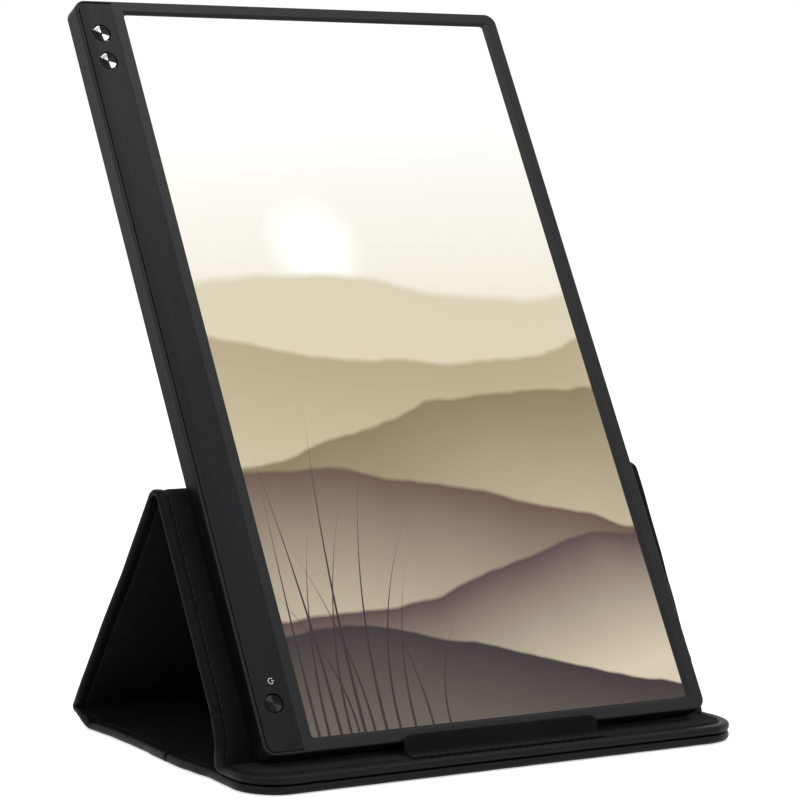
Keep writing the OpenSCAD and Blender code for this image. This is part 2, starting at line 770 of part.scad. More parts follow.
// Long thin board stuck under the tray, along the chin
module driver_board() {
    color(circuit_colour) on_monitor() {
        block(driver_x0, driver_x0 + driver_w, driver_y0, driver_y0 + driver_l, tray_z - driver_t, tray_z);
        block(driver_x0 + 1, driver_x0 + driver_w - 1, driver_y0 + driver_l - 14, driver_y0 + driver_l - 4,
              tray_z - driver_t - 0.9, tray_z - driver_t);
    }
}

module main_board() {
    x0 = main_board_x0;
    y0 = main_board_y1 - main_board_l;
    color(circuit_colour) on_monitor() difference() {
        union() {
            block(x0, x0 + main_board_w, y0, main_board_y1, main_board_z, main_board_top);
            block(tab_x0, x0 + 1, main_board_y1 - tab_l, main_board_y1, main_board_z, main_board_top);
            // chips and the cable's connector
            block(can_x + 8, can_x + can_w - 8, can_y + 6, can_y + can_l - 6,
                  main_board_top - 0.01, main_board_top + chip_t);
            block(x0 + 38, x0 + 50, y0 + 14, y0 + 26, main_board_top - 0.01, main_board_top + chip_t);
            block(x0 + 10, x0 + 20, y0 + 30, y0 + 40, main_board_top - 0.01, main_board_top + chip_t);
            block(x0 + 12, x0 + 24, y0 + 1, y0 + 7, main_board_top - 0.01, main_board_top + chip_t);
        }
        for (p = main_board_screws) translate([p[0], p[1], main_board_z - over])
            cylinder(d = screw_d + 2 * fit_gap, h = main_board_t + 2 * over);
    }
}

module shield_can() {
    color(metal_colour) on_monitor() difference() {
        block(can_x, can_x + can_w, can_y, can_y + can_l, main_board_top, main_board_top + can_h);
        block(can_x + can_t, can_x + can_w - can_t, can_y + can_t, can_y + can_l - can_t,
              main_board_top - over, main_board_top + can_h - can_t);
    }
}

module board_screws() {
    color(metal_colour) on_monitor() for (p = main_board_screws) translate([p[0], p[1], 0]) {
        translate([0, 0, rear_t]) cylinder(d = screw_d - 2 * fit_gap, h = main_board_top - rear_t + 0.1);
        translate([0, 0, main_board_top]) cylinder(d = screw_head_d, h = screw_head_t);
    }
}

module stadium(w, h) {
    square([w - h, h], center = true);
    for (side = [-1, 1]) translate([side * (w - h) / 2, 0]) circle(h / 2);
}

module usb_socket() {
    color(metal_colour) on_monitor()
        translate([socket_x, socket_mouth_y - socket_l, main_board_top + socket_h / 2]) rotate([-90, 0, 0]) {
            difference() {
                linear_extrude(socket_l) stadium(socket_w, socket_h);
                translate([0, 0, 1]) linear_extrude(socket_l)
                    stadium(socket_w - 2 * socket_wall, socket_h - 2 * socket_wall);
            }
            // contact tongue
            translate([-3.3, -0.35, 0.5]) cube([6.6, 0.7, socket_l - 1.5]);
        }
}

module button_board(ends) {
    color(circuit_colour) on_monitor() block(button_x - button_board_w / 2, button_x + button_board_w / 2,
        ends[0], ends[1], button_board_z, button_board_z + button_board_t);
}

module upper_button_board() {
    button_board(upper_board);
}

module lower_button_board() {
    button_board(lower_board);
}

module tact_switches() {
    color(metal_colour) on_monitor() at_buttons() {
        translate([-switch_w / 2, -switch_w / 2, switch_z]) cube([switch_w, switch_w, switch_t]);
        translate([0, 0, switch_z + switch_t - 0.1]) cylinder(d = plunger_d, h = plunger_t + 0.1);
    }
}

// Flat cable from the main board's connector to the driver board's
module panel_cable() {
    y0 = driver_y0 + driver_l - 12;
    y1 = main_board_y1 - main_board_l + 6;
    z = min(tray_z - driver_t - 0.9, main_board_top + chip_t) - cable_t;
    color([0.75, 0.6, 0.3]) on_monitor() {
        // along the driver board's connector, under it
        block(driver_x0 + 1.5, main_board_x0 + 13 + cable_w, y0, y0 + cable_w, z, z + cable_t);
        // across to the main board's connector
        block(main_board_x0 + 13, main_board_x0 + 13 + cable_w, y0, y1 - 6, z, z + cable_t);
        block(main_board_x0 + 13, main_board_x0 + 13 + cable_w, y1 - 6.5, y1 - 6, z, main_board_top + chip_t + cable_t);
        block(main_board_x0 + 13, main_board_x0 + 13 + cable_w, y1 - 6.5, y1 - 1, main_board_top + chip_t,
              main_board_top + chip_t + cable_t);
    }
}

// Flat cable along the chin, under both button boards
module button_cable() {
    x0 = button_x + post_d / 2 + fit_gap;
    color([0.75, 0.6, 0.3]) on_monitor() block(x0, x0 + button_cable_w,
        lower_board[1] - 4, upper_board[0] + 4, button_board_z - cable_t, button_board_z);
}

// Turned cap with a chamfered rim and a shallow dish, on a flange that keeps it behind the web
module button_cap(y) {
    dish_r = (pow(button_d / 2 - cap_rim, 2) + cap_dish * cap_dish) / (2 * cap_dish);
    color(metal_colour) on_monitor() translate([button_x, y, 0]) difference() {
        union() {
            translate([0, 0, flange_z]) cylinder(d = flange_d, h = flange_t);
            translate([0, 0, flange_z + flange_t - 0.1])
                cylinder(d = button_d, h = front_z - cap_chamfer - flange_z - flange_t + 0.1);
            translate([0, 0, front_z - cap_chamfer])
                cylinder(d1 = button_d, d2 = button_d - 2 * cap_chamfer, h = cap_chamfer);
        }
        translate([0, 0, front_z - cap_dish + dish_r]) sphere(dish_r);
    }
}

module menu_button() {
    button_cap(menu_y);
}

module input_button() {
    button_cap(input_y);
}

module power_button() {
    button_cap(power_y);
}

base_skin();
base_board();
base_lining();
base_magnets();
ledge_skin();
ledge_board();
ledge_lining();
ledge_magnets();
lip_flap();
lip_core();
riser_skin();
riser_board();
riser_lining();
backrest_skin();
backrest_board();
backrest_lining();
leg_skin();
leg_board();
leg_lining();
spine_skin();
spine_board();
spine_lining();
rear_cover();
front_frame();
chin_plate();
lcd_glass();
diffuser_films();
light_guide();
panel_frame();
backlight_tray();
led_strip();
driver_board();
main_board();
shield_can();
usb_socket();
upper_button_board();
lower_button_board();
tact_switches();
panel_cable();
button_cable();
board_screws();
menu_button();
input_button();
power_button();
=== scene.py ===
# %% [markdown]
# # A slim monitor standing in its folding cover
# The object is a thin desktop screen that stands upright on the ledge of a soft cover. The cover is one
# long strip of board panels wrapped in leather, with suede on the side that touches the screen, and it is
# folded into a triangle that holds the screen up.
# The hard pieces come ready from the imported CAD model, and keep their places. Here they only get finishes.
# The soft cover is modelled again, because leather is puffy at its edges, sewn, and rounds its folds.

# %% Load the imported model
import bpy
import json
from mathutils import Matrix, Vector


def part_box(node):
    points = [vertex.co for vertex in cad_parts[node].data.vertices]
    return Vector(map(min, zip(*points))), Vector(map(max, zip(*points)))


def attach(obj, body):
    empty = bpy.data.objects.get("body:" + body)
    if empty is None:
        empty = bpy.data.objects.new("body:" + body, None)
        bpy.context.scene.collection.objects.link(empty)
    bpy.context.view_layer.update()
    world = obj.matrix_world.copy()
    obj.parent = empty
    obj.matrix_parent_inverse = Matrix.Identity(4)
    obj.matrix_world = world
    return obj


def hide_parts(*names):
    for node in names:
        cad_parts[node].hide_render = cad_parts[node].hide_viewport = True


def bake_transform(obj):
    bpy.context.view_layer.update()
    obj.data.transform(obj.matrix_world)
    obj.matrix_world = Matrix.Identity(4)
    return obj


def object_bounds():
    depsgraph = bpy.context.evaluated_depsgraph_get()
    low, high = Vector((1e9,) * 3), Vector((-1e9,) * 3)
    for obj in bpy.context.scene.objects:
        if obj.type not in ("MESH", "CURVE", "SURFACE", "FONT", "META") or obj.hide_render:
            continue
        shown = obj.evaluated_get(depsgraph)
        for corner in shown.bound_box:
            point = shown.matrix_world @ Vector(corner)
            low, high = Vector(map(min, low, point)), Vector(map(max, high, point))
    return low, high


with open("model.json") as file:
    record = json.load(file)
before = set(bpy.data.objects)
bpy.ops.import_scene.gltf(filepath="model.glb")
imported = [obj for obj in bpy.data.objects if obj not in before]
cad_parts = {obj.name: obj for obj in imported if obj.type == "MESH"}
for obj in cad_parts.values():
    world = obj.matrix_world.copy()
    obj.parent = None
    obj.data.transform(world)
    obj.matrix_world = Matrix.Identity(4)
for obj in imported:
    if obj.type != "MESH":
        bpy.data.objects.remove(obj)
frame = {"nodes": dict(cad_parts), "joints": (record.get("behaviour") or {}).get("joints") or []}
cad_low, cad_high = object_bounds()
print("CAD box in mm:", [round(1000 * (b - a), 1) for a, b in zip(cad_low, cad_high)])

# %% Units and tools
import bpy, bmesh, json, math
from mathutils import Matrix, Vector, noise

MM = 0.001          # every length below is written in millimetres, and Blender works in metres
scene = bpy.context.scene
print("one unit below is", MM, "m")

# %% [markdown]
# ## Camera
# A product photograph is taken from well back with a long lens, so its parallel edges stay nearly
# parallel. The camera could be aimed with a Track To constraint, but writing its three axes down gives
# exactly one placing, with the slight roll of a hand-held view. A long lens on a 36 mm sensor sets the crop.

# %% Camera
eye = Vector((-0.735321, -1.133883, 0.292295))
camera_right = Vector((0.844651, -0.534790, 0.023765))
camera_up = Vector((0.036672, 0.102096, 0.994098))
camera_back = Vector((-0.534060, -0.838794, 0.105847))
camera = bpy.data.objects.new("camera", bpy.data.cameras.new("camera"))
camera_turn = Matrix((camera_right, camera_up, camera_back)).transposed()
camera.matrix_world = Matrix.Translation(eye) @ camera_turn.to_4x4()
camera.data.sensor_width = 36
camera.data.lens = 140.1379
camera.data.clip_end = 20
scene.collection.objects.link(camera)
scene.camera = camera
print("camera stands", round(eye.length, 2), "m from the object")

# %% [markdown]
# ## A small kit for materials
# Nearly every finish here is a Principled shader with a little noise in its colour, roughness and bump.
# Writing out each node takes four lines, so a few helpers keep the recipes readable: one adds a node and
# sets its inputs, one adds a maths node, one a ramp from 0 to 1, and one turns a colour picked in 0-255
# values into the linear values that shaders use. Texture coordinates are the object's own, which here are
# the row frame in metres, so a grain of 0.5 mm needs a scale of 2000.

# %% Material helpers
def linear(red, green=None, blue=None):
    """A colour from 0-255 screen values; one value alone is a grey."""
    rgb = (red, red if green is None else green, red if blue is None else blue)
    return tuple((c / 255 / 12.92) if c < 11 else ((c / 255 + 0.055) / 1.055) ** 2.4 for c in rgb) + (1,)

def node(mat, kind, **inputs):
    """Adds a node to a material or a world. Its inputs are given by name, with _ for spaces, or as i0, i1."""
    new = mat.node_tree.nodes.new("ShaderNode" + kind)
    for name, value in inputs.items():
        socket = new.inputs[int(name[1:])] if name[1:].isdigit() else new.inputs[name.replace("_", " ")]
        if isinstance(value, bpy.types.NodeSocket):
            mat.node_tree.links.new(value, socket)
        else:
            socket.default_value = value
    return new

def calc(mat, operation, first, second=0.0, third=0.0, clamp=False):
    """A maths node; returns its output."""
    new = node(mat, "Math", i0=first, i1=second, i2=third)
    new.operation, new.use_clamp = operation, clamp
    return new.outputs[0]

def ramp(mat, value, low, high):
    """0 where value is at low and 1 where it is at high, straight in between."""
    return calc(mat, "MULTIPLY_ADD", value, 1 / (high - low), -low / (high - low), clamp=True)

print("a screen value of 128 is", round(linear(128)[0], 3), "in linear light")

# %% Finish helpers
def finish(name, colour, roughness, **sockets):
    """A new material with one Principled shader; returns the material and the shader."""
    mat = bpy.data.materials.new(name)
    mat.use_nodes = True
    shader = mat.node_tree.nodes["Principled BSDF"]
    shader.inputs["Base Color"].default_value = colour
    shader.inputs["Roughness"].default_value = roughness
    for key, value in sockets.items():
        shader.inputs[key.replace("_", " ")].default_value = value
    mat.diffuse_color = colour
    return mat, shader

def own_place(mat, scale=(1, 1, 1)):
    """The object's own coordinates in metres, stretched by scale."""
    place = node(mat, "TexCoord")
    return node(mat, "Mapping", Vector=place.outputs["Object"], Scale=scale).outputs[0]

def bumps(mat, shader, height, depth_mm, strength=1.0):
    """Feeds a height from 0 to 1 into the shader's normal."""
    bump = node(mat, "Bump", Height=height, Distance=depth_mm * MM, Strength=strength)
    mat.node_tree.links.new(bump.outputs[0], shader.inputs["Normal"])

def vary(mat, shader, socket, factor, low, high):
    """Lets factor move a socket between two values or colours."""
    if isinstance(low, tuple):
        mix = node(mat, "Mix")
        mix.data_type = "RGBA"
        mix.inputs[6].default_value, mix.inputs[7].default_value = low, high
        mat.node_tree.links.new(factor, mix.inputs[0])
        mat.node_tree.links.new(mix.outputs[2], shader.inputs[socket])
    else:
        mapped = node(mat, "MapRange", Value=factor, To_Min=low, To_Max=high)
        mat.node_tree.links.new(mapped.outputs[0], shader.inputs[socket])

print("materials before the first finish:", len(bpy.data.materials))

# %% [markdown]
# ## Floor, backdrop and light
# The studio is plain: a pale floor that runs out into white, a soft lamp overhead that draws the bright
# lines on rounded edges, and weaker ones at the left, at the right and behind. A curved backdrop would do
# too, but a flat floor and a white world need less. The floor is diffuse, so it keeps the contact shadow. For
# rays that come from the camera, also by way of a mirror or glass, it glows a little, which lifts its lit
# parts to white without any more light on the object.

# %% Soft studio light
def soft_lamp(name, place, target, size, watts):
    """A square area lamp that looks at target."""
    lamp = bpy.data.objects.new(name, bpy.data.lights.new(name, "AREA"))
    lamp.data.shape, lamp.data.size, lamp.data.energy = "SQUARE", size, watts
    lamp.location = place
    lamp.rotation_mode = "QUATERNION"
    lamp.rotation_quaternion = (Vector(target) - Vector(place)).to_track_quat("-Z", "Y")
    scene.collection.objects.link(lamp)
    return lamp

middle = (cad_low + cad_high) / 2
soft_lamp("lamp_top", (0.4, -0.5, 1.5), middle, 0.5, 7)
soft_lamp("lamp_left", (-0.95, -0.35, 1.1), middle, 0.7, 6)
soft_lamp("lamp_right", (1.3, -1.3, 1.2), middle, 1.4, 4)
soft_lamp("lamp_back", (0.3, 1.6, 1.5), middle, 1.0, 5)

# %% World and floor
def seen_directly(mat):
    """1 for a ray from the camera or one mirrored or passed on to it, and 0 for the rest."""
    rays = node(mat, "LightPath").outputs
    mirrored = calc(mat, "MAXIMUM", rays["Is Camera Ray"], rays["Is Glossy Ray"])
    return calc(mat, "MAXIMUM", mirrored, rays["Is Transmission Ray"])

world = bpy.data.worlds.new("studio")
scene.world = world
world.use_nodes = True
world.node_tree.nodes.clear()
dim = node(world, "Background", Color=(1, 1, 1, 1), Strength=0.45)
white = node(world, "Background", Color=(1, 1, 1, 1), Strength=1.0)
choose = node(world, "MixShader", i0=seen_directly(world), i1=dim.outputs[0], i2=white.outputs[0])
node(world, "OutputWorld", Surface=choose.outputs[0])

floor_mesh = bpy.data.meshes.new("floor")
floor_mesh.from_pydata([(-4, -4, 0), (4, -4, 0), (4, 4, 0), (-4, 4, 0)], [], [(0, 1, 2, 3)])
floor = bpy.data.objects.new("floor", floor_mesh)
floor.location.z = -0.4 * MM
scene.collection.objects.link(floor)

floor_paper = bpy.data.materials.new("floor_paper")
floor_paper.use_nodes = True
floor_paper.node_tree.nodes.clear()
paper = node(floor_paper, "BsdfDiffuse", Color=(0.86, 0.86, 0.86, 1))
glow = node(floor_paper, "Emission", Color=(0.62, 0.62, 0.62, 1), Strength=seen_directly(floor_paper))
both = node(floor_paper, "AddShader", i0=paper.outputs[0], i1=glow.outputs[0])
node(floor_paper, "OutputMaterial", Surface=both.outputs[0])
floor.data.materials.append(floor_paper)
scene.view_settings.view_transform = "Standard"
print("floor lies", round(-1000 * floor.location.z, 2), "mm under the cover")

# %% [markdown]
# ## Leather
# The border, the inside of the triangle and the fold backs are smooth black leather. Its grain is a net of
# fine creases between small raised cells. A photograph of leather would be the quick way, but a Voronoi
# texture measured to the cell edge makes the same net at any size. Slow noise makes the gloss uneven, as
# handled leather is. The low rims near the table are rubbed shinier than the upright panels, so the gloss
# changes slowly with height. The inside of the rear leg has painted light: its colour grows paler with
# height, as if more light reached it higher up.

# %% Leather
leather, shader = finish("leather", linear(21), 0.36, Specular_IOR_Level=0.1)
place = own_place(leather)
cells = node(leather, "TexVoronoi", Vector=place, Scale=1150.0, Randomness=0.9)
cells.feature = "DISTANCE_TO_EDGE"
pores = node(leather, "TexNoise", Vector=place, Scale=2600.0, Detail=3.0)
hand = node(leather, "TexNoise", Vector=place, Scale=38.0, Detail=4.0)
net = calc(leather, "MULTIPLY", cells.outputs["Distance"], 5.0, clamp=True)
height = calc(leather, "MULTIPLY_ADD", pores.outputs["Fac"], 0.35, net)
bumps(leather, shader, height, 0.05, 0.55)
vary(leather, shader, "Base Color", hand.outputs["Fac"], linear(14), linear(24))
vary(leather, shader, "Roughness", hand.outputs["Fac"], 0.36, 0.52)

def height_share(mat, low_mm, high_mm):
    """0 below one height over the table and 1 above another."""
    z = node(mat, "SeparateXYZ", Vector=node(mat, "TexCoord").outputs["Object"]).outputs["Z"]
    return ramp(mat, z, low_mm * MM, high_mm * MM)

vary(leather, shader, "Specular IOR Level", height_share(leather, 9, 16), 0.1, 0.03)

inner_leather_painted_light = leather.copy()
inner_leather_painted_light.name = "inner_leather_painted_light"
shader = inner_leather_painted_light.node_tree.nodes["Principled BSDF"]
# Painted light: the inner leather's colour grows paler with height, as if lit more higher up.
vary(inner_leather_painted_light, shader, "Base Color", height_share(inner_leather_painted_light, 6, 34), linear(20), linear(33))
print("leather grain is about", round(1000 / 1150, 1), "mm")

# %% [markdown]
# ## Suede
# The side that faces the screen, and the small flap on the ledge, are suede: a short nap with no gloss,
# which lies darker or lighter where it was brushed. Real nap could be hair, but at 0.2 mm it is far below
# one pixel. Sheen gives its soft edge light, and two noises, one fine and one slow, give nap and brushing.

# %% Suede
suede, shader = finish("suede", linear(18), 0.95,
                       Specular_IOR_Level=0.05, Sheen_Weight=0.05, Sheen_Roughness=0.4)
place = own_place(suede)
nap = node(suede, "TexNoise", Vector=place, Scale=1900.0, Detail=4.0, Roughness=0.7)
brushed = node(suede, "TexNoise", Vector=place, Scale=46.0, Detail=6.0, Roughness=0.65)
brushing = calc(suede, "MULTIPLY", brushed.outputs["Fac"], 0.7)
tone = calc(suede, "MULTIPLY_ADD", nap.outputs["Fac"], 0.6, brushing)
vary(suede, shader, "Base Color", calc(suede, "SUBTRACT", tone, 0.2, clamp=True), linear(9), linear(32))
bumps(suede, shader, nap.outputs["Fac"], 0.12, 0.7)

thread, shader = finish("thread", linear(32), 0.6, Specular_IOR_Level=0.12)
twist = node(thread, "TexWave", Vector=own_place(thread), Scale=900.0, Distortion=2.0)
vary(thread, shader, "Base Color", twist.outputs["Fac"], linear(26), linear(46))
bumps(thread, shader, twist.outputs["Fac"], 0.05, 0.6)
print("soft finishes:", leather.name, suede.name, thread.name)

# %% [markdown]
# ## Monitor finishes
# The shell is satin moulded plastic with a very fine spark-eroded texture. Towards the foot its side walls
# get painted shade: a darker colour and less gloss, standing in for the shade and the dark reflection of the
# leather round them. An image mask would do, but the mesh's own normals find the side walls at any size. The
# plate beside the screen is dark metal brushed along its length: noise stretched 100 times along one axis
# gives the fine lines, and painted shade darkens it towards its outer edge at the upper end. The texture has
# to run with the leaning monitor, so its coordinates are turned into the monitor's own frame, x across, y up
# the slope and z out of the screen. A Mapping node of the texture kind undoes the monitor's lean.

# %% The monitor's own frame
lift = next(j for j in frame["joints"] if j["name"] == "monitor_lift")
slope_up = Vector(lift["axis"]).normalized()
screen_out = Vector((1, 0, 0)).cross(slope_up)
monitor_foot = Vector((0.0009, -0.051624, 0.0081))
lean = math.acos(slope_up.z)

def on_monitor(x, y, z):
    """A point in the monitor's own frame, in mm, as a point in the row frame, in metres."""
    return monitor_foot + MM * (Vector((x, 0, 0)) + y * slope_up + z * screen_out)

def monitor_place(mat, scale=(1, 1, 1)):
    """Texture coordinates in the monitor's own frame, in metres, stretched by scale."""
    turn = node(mat, "Mapping", Vector=node(mat, "TexCoord").outputs["Object"],
                Location=monitor_foot, Rotation=(math.pi / 2 - lean, 0, 0))
    turn.vector_type = "TEXTURE"
    return node(mat, "Mapping", Vector=turn.outputs[0], Scale=scale).outputs[0]

_, frame_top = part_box("front_frame")
print("monitor leans back", round(math.degrees(lean), 1), "degrees")
print("its top is at", round(1000 * frame_top.z, 1), "mm")

# %% Plastic and plate
shell_plastic, shader = finish("shell_plastic", linear(27, 27, 28), 0.36, Specular_IOR_Level=0.14)
texture = node(shell_plastic, "TexNoise", Vector=own_place(shell_plastic), Scale=3200.0, Detail=2.0)
smudge = node(shell_plastic, "TexNoise", Vector=own_place(shell_plastic), Scale=16.0, Detail=3.0)
bumps(shell_plastic, shader, texture.outputs["Fac"], 0.02, 0.5)
vary(shell_plastic, shader, "Roughness", smudge.outputs["Fac"], 0.36, 0.46)
facing = node(shell_plastic, "SeparateXYZ", Vector=node(shell_plastic, "TexCoord").outputs["Normal"])
sideways = calc(shell_plastic, "ABSOLUTE", facing.outputs["X"])
side_wall = ramp(shell_plastic, sideways, 0.8, 1.0)
spot = node(shell_plastic, "SeparateXYZ", Vector=monitor_place(shell_plastic, (1000, 1000, 1000)))
near_foot = ramp(shell_plastic, spot.outputs["Y"], 260, 60)
# Painted shade: near the foot the side walls get a darker colour and less gloss, for the shade and dark
# reflection of the leather round them.
dark_tone = calc(shell_plastic, "MULTIPLY", side_wall, near_foot)
vary(shell_plastic, shader, "Base Color", dark_tone, linear(27, 27, 28), linear(11, 11, 12))
vary(shell_plastic, shader, "Specular IOR Level", dark_tone, 0.14, 0.02)

brushed_plate, shader = finish("brushed_plate", linear(24, 24, 26), 0.4, Metallic=0.25,
                               Specular_IOR_Level=0.09)
fine = monitor_place(brushed_plate, (9000, 90, 9000))
lines = node(brushed_plate, "TexNoise", Vector=fine, Scale=1.0, Detail=3.0)
bumps(brushed_plate, shader, lines.outputs["Fac"], 0.012, 0.6)
coarse = monitor_place(brushed_plate, (260, 12, 260))
streaks = node(brushed_plate, "TexNoise", Vector=coarse, Scale=1.0, Detail=2.0)
half_streaks = calc(brushed_plate, "MULTIPLY", streaks.outputs["Fac"], 0.5)
brushing = calc(brushed_plate, "MULTIPLY_ADD", lines.outputs["Fac"], 0.5, half_streaks)
# Painted shade: the colour darkens towards the plate's outer edge at its upper end; lower down only the
# brushing varies it.
spot = node(brushed_plate, "SeparateXYZ", Vector=monitor_place(brushed_plate, (1000, 1000, 1000)))
off_edge = ramp(brushed_plate, spot.outputs["X"], -110.5, -105.5)
low_down = ramp(brushed_plate, spot.outputs["Y"], 325, 75)
brushing_and_edge_shade = calc(brushed_plate, "MULTIPLY", brushing, calc(brushed_plate, "MAXIMUM", off_edge, low_down))
vary(brushed_plate, shader, "Base Color", brushing_and_edge_shade, linear(12, 12, 13), linear(33, 33, 35))
vary(brushed_plate, shader, "Roughness", lines.outputs["Fac"], 0.32, 0.46)
print("plate brushed in lines of about 0.1 by 11 mm")

# %% [markdown]
# ## Picture on the screen
# A lit screen gives its own light, so its picture is emission, with a thin satin reflection on top. The
# picture here is a made-up one, rolling dunes under a low pale sun. It is built only from waves: each
# ridge is a height that changes with x, and everything below it gets that ridge's colour, with a soft edge.
# Seen from the side a real panel keeps most of its brightness, so the emission is the same all round.

# %% Dunes under a pale sun
picture_x0, picture_y0, picture_w, picture_h = -89.15, 6.3, 193.1, 343.8     # the lit area, in mm
picture_corner = 1.5

screen, shader = finish("screen", (0.01, 0.01, 0.01, 1), 0.32, Specular_IOR_Level=0.2)
place = node(screen, "SeparateXYZ", Vector=monitor_place(screen, (1000, 1000, 1000)))
across = calc(screen, "DIVIDE", calc(screen, "SUBTRACT", place.outputs["X"], picture_x0), picture_w)
upward = calc(screen, "DIVIDE", calc(screen, "SUBTRACT", place.outputs["Y"], picture_y0), picture_h)
wide = monitor_place(screen, (14, 9, 1))
grain = node(screen, "TexNoise", Vector=wide, Scale=1.0, Detail=3.0).outputs["Fac"]

def blend_in(under, over, amount):
    """Lays one colour over another by an amount from 0 to 1."""
    mix = node(screen, "Mix")
    mix.data_type = "RGBA"
    for socket, value in ((mix.inputs[0], amount), (mix.inputs[6], under), (mix.inputs[7], over)):
        if isinstance(value, bpy.types.NodeSocket):
            screen.node_tree.links.new(value, socket)
        else:
            socket.default_value = value
    return mix.outputs[2]

def below(ridge, softness):
    """1 well under a ridge line and 0 above it."""
    under = calc(screen, "SUBTRACT", ridge, upward)
    return calc(screen, "MULTIPLY_ADD", under, 1 / softness, 0.5, clamp=True)

def ridge_line(level, swing, waves, shift, rough):
    """Height of a ridge, as a share of the picture's height: a wave with some noise in it."""
    wave = calc(screen, "SINE", calc(screen, "MULTIPLY_ADD", across, waves, shift))
    noisy = calc(screen, "MULTIPLY_ADD", grain, rough, level - rough / 2)
    return calc(screen, "MULTIPLY_ADD", wave, swing, noisy)

sky_height = calc(screen, "MULTIPLY_ADD", upward, 2.6, -1.35, clamp=True)
sky = blend_in(linear(233, 226, 205), (1, 1, 1, 1), sky_height)
beside = calc(screen, "MULTIPLY", calc(screen, "SUBTRACT", across, 0.34), picture_w / picture_h)
above = calc(screen, "SUBTRACT", upward, 0.66)
sun_distance = calc(screen, "SQRT", calc(screen, "ADD", calc(screen, "POWER", beside, 2.0),
                                         calc(screen, "POWER", above, 2.0)))
picture = blend_in(sky, (1, 1, 0.96, 1), calc(screen, "MULTIPLY_ADD", sun_distance, -24.0, 1.9, clamp=True))
print("sky and sun made")

# %% Ridges, from far to near
ridges = [  # level, swing, waves, shift, roughness, edge softness, colour, how fast it pales below its top
    (0.60, 0.020, 5.0, 0.4, 0.05, 0.012, linear(214, 204, 176), 4.0),
    (0.52, 0.035, 3.6, 2.6, 0.06, 0.008, linear(178, 162, 128), 3.2),
    (0.40, 0.050, 3.0, 5.2, 0.07, 0.006, linear(133, 118, 84), 3.0),
    (0.29, 0.060, 2.6, 1.4, 0.06, 0.006, linear(96, 70, 58), 3.4),
    (0.19, 0.045, 3.4, 4.4, 0.05, 0.005, linear(76, 50, 52), 5.5),
    (0.055, 0.075, 2.4, 1.3, 0.05, 0.004, linear(43, 27, 28), 1.2),
]
for level, swing, waves, shift, rough, softness, colour, paling in ridges:
    line = ridge_line(level, swing, waves, shift, rough)
    mist = calc(screen, "MULTIPLY", calc(screen, "SUBTRACT", line, upward), paling, clamp=True)
    slope_colour = blend_in(colour, linear(224, 212, 184), calc(screen, "MULTIPLY", mist, 0.85))
    picture = blend_in(picture, slope_colour, below(line, softness))
print("ridges:", len(ridges))

# %% Grass in front
blades = [  # foot, height, how far the tip hangs over, half width; shares of the picture's width or height
    (0.045, 0.30, 0.10, 0.0045), (0.075, 0.41, -0.05, 0.0050), (0.100, 0.34, 0.16, 0.0042),
    (0.135, 0.46, 0.07, 0.0052), (0.160, 0.28, -0.12, 0.0040), (0.190, 0.38, 0.13, 0.0046),
    (0.225, 0.31, 0.20, 0.0042), (0.020, 0.37, 0.02, 0.0044), (0.265, 0.24, 0.11, 0.0038),
    (0.310, 0.19, -0.06, 0.0036), (0.120, 0.24, -0.20, 0.0036), (0.355, 0.16, 0.12, 0.0034),
]
for foot, height, hang, half_width in blades:
    climbed = calc(screen, "DIVIDE", upward, height)
    bow = calc(screen, "MULTIPLY_ADD", calc(screen, "POWER", climbed, 2.0), hang, foot)
    aside = calc(screen, "ABSOLUTE", calc(screen, "SUBTRACT", across, bow))
    width = calc(screen, "MULTIPLY", calc(screen, "SUBTRACT", 1.0, climbed, clamp=True), half_width)
    blade = calc(screen, "MULTIPLY", calc(screen, "SUBTRACT", width, aside), 700.0, clamp=True)
    picture = blend_in(picture, linear(35, 23, 24), blade)
print("grass:", len(blades), "blades")

# %% Lit area with rounded corners
def past_corner(share, size):
    """How far a place lies beyond the straight part of the lit area's edge, in mm along one axis."""
    off_middle = calc(screen, "MULTIPLY", calc(screen, "SUBTRACT", share, 0.5), size)
    from_middle = calc(screen, "ABSOLUTE", off_middle)
    return calc(screen, "MAXIMUM", calc(screen, "SUBTRACT", from_middle, size / 2 - picture_corner), 0.0)

past_x = calc(screen, "POWER", past_corner(across, picture_w), 2.0)
past_y = calc(screen, "POWER", past_corner(upward, picture_h), 2.0)
corner_reach = calc(screen, "SQRT", calc(screen, "ADD", past_x, past_y))
lit = blend_in((0, 0, 0, 1), picture, calc(screen, "LESS_THAN", corner_reach, picture_corner))
screen.node_tree.links.new(lit, shader.inputs["Emission Color"])
shader.inputs["Emission Strength"].default_value = 1.0
print("lit area is", picture_w, "by", picture_h, "mm")

# %% [markdown]
# ## Buttons
# The three caps are small dishes of dark metal, turned on a lathe. Their fine circular grooves spread each
# highlight into two bright wedges, like a bow tie. The grooves are too fine to model. Anisotropy stretches
# the highlight instead, and it needs a tangent that runs round the cap at every point: the cross product of
# the cap's axis and the arm from its centre. The soft lamps alone leave the wedges faint, so a painted
# highlight is added to the colour: two opposite sectors are painted brighter, more on the upper caps than on
# the lower.

# %% Turned caps
button_x = -102.85
button_y = {"menu_button": 340.1, "input_button": 326.0, "power_button": 22.4}

sector_way = (-0.593 * Vector((1, 0, 0)) + 0.805 * slope_up).normalized()

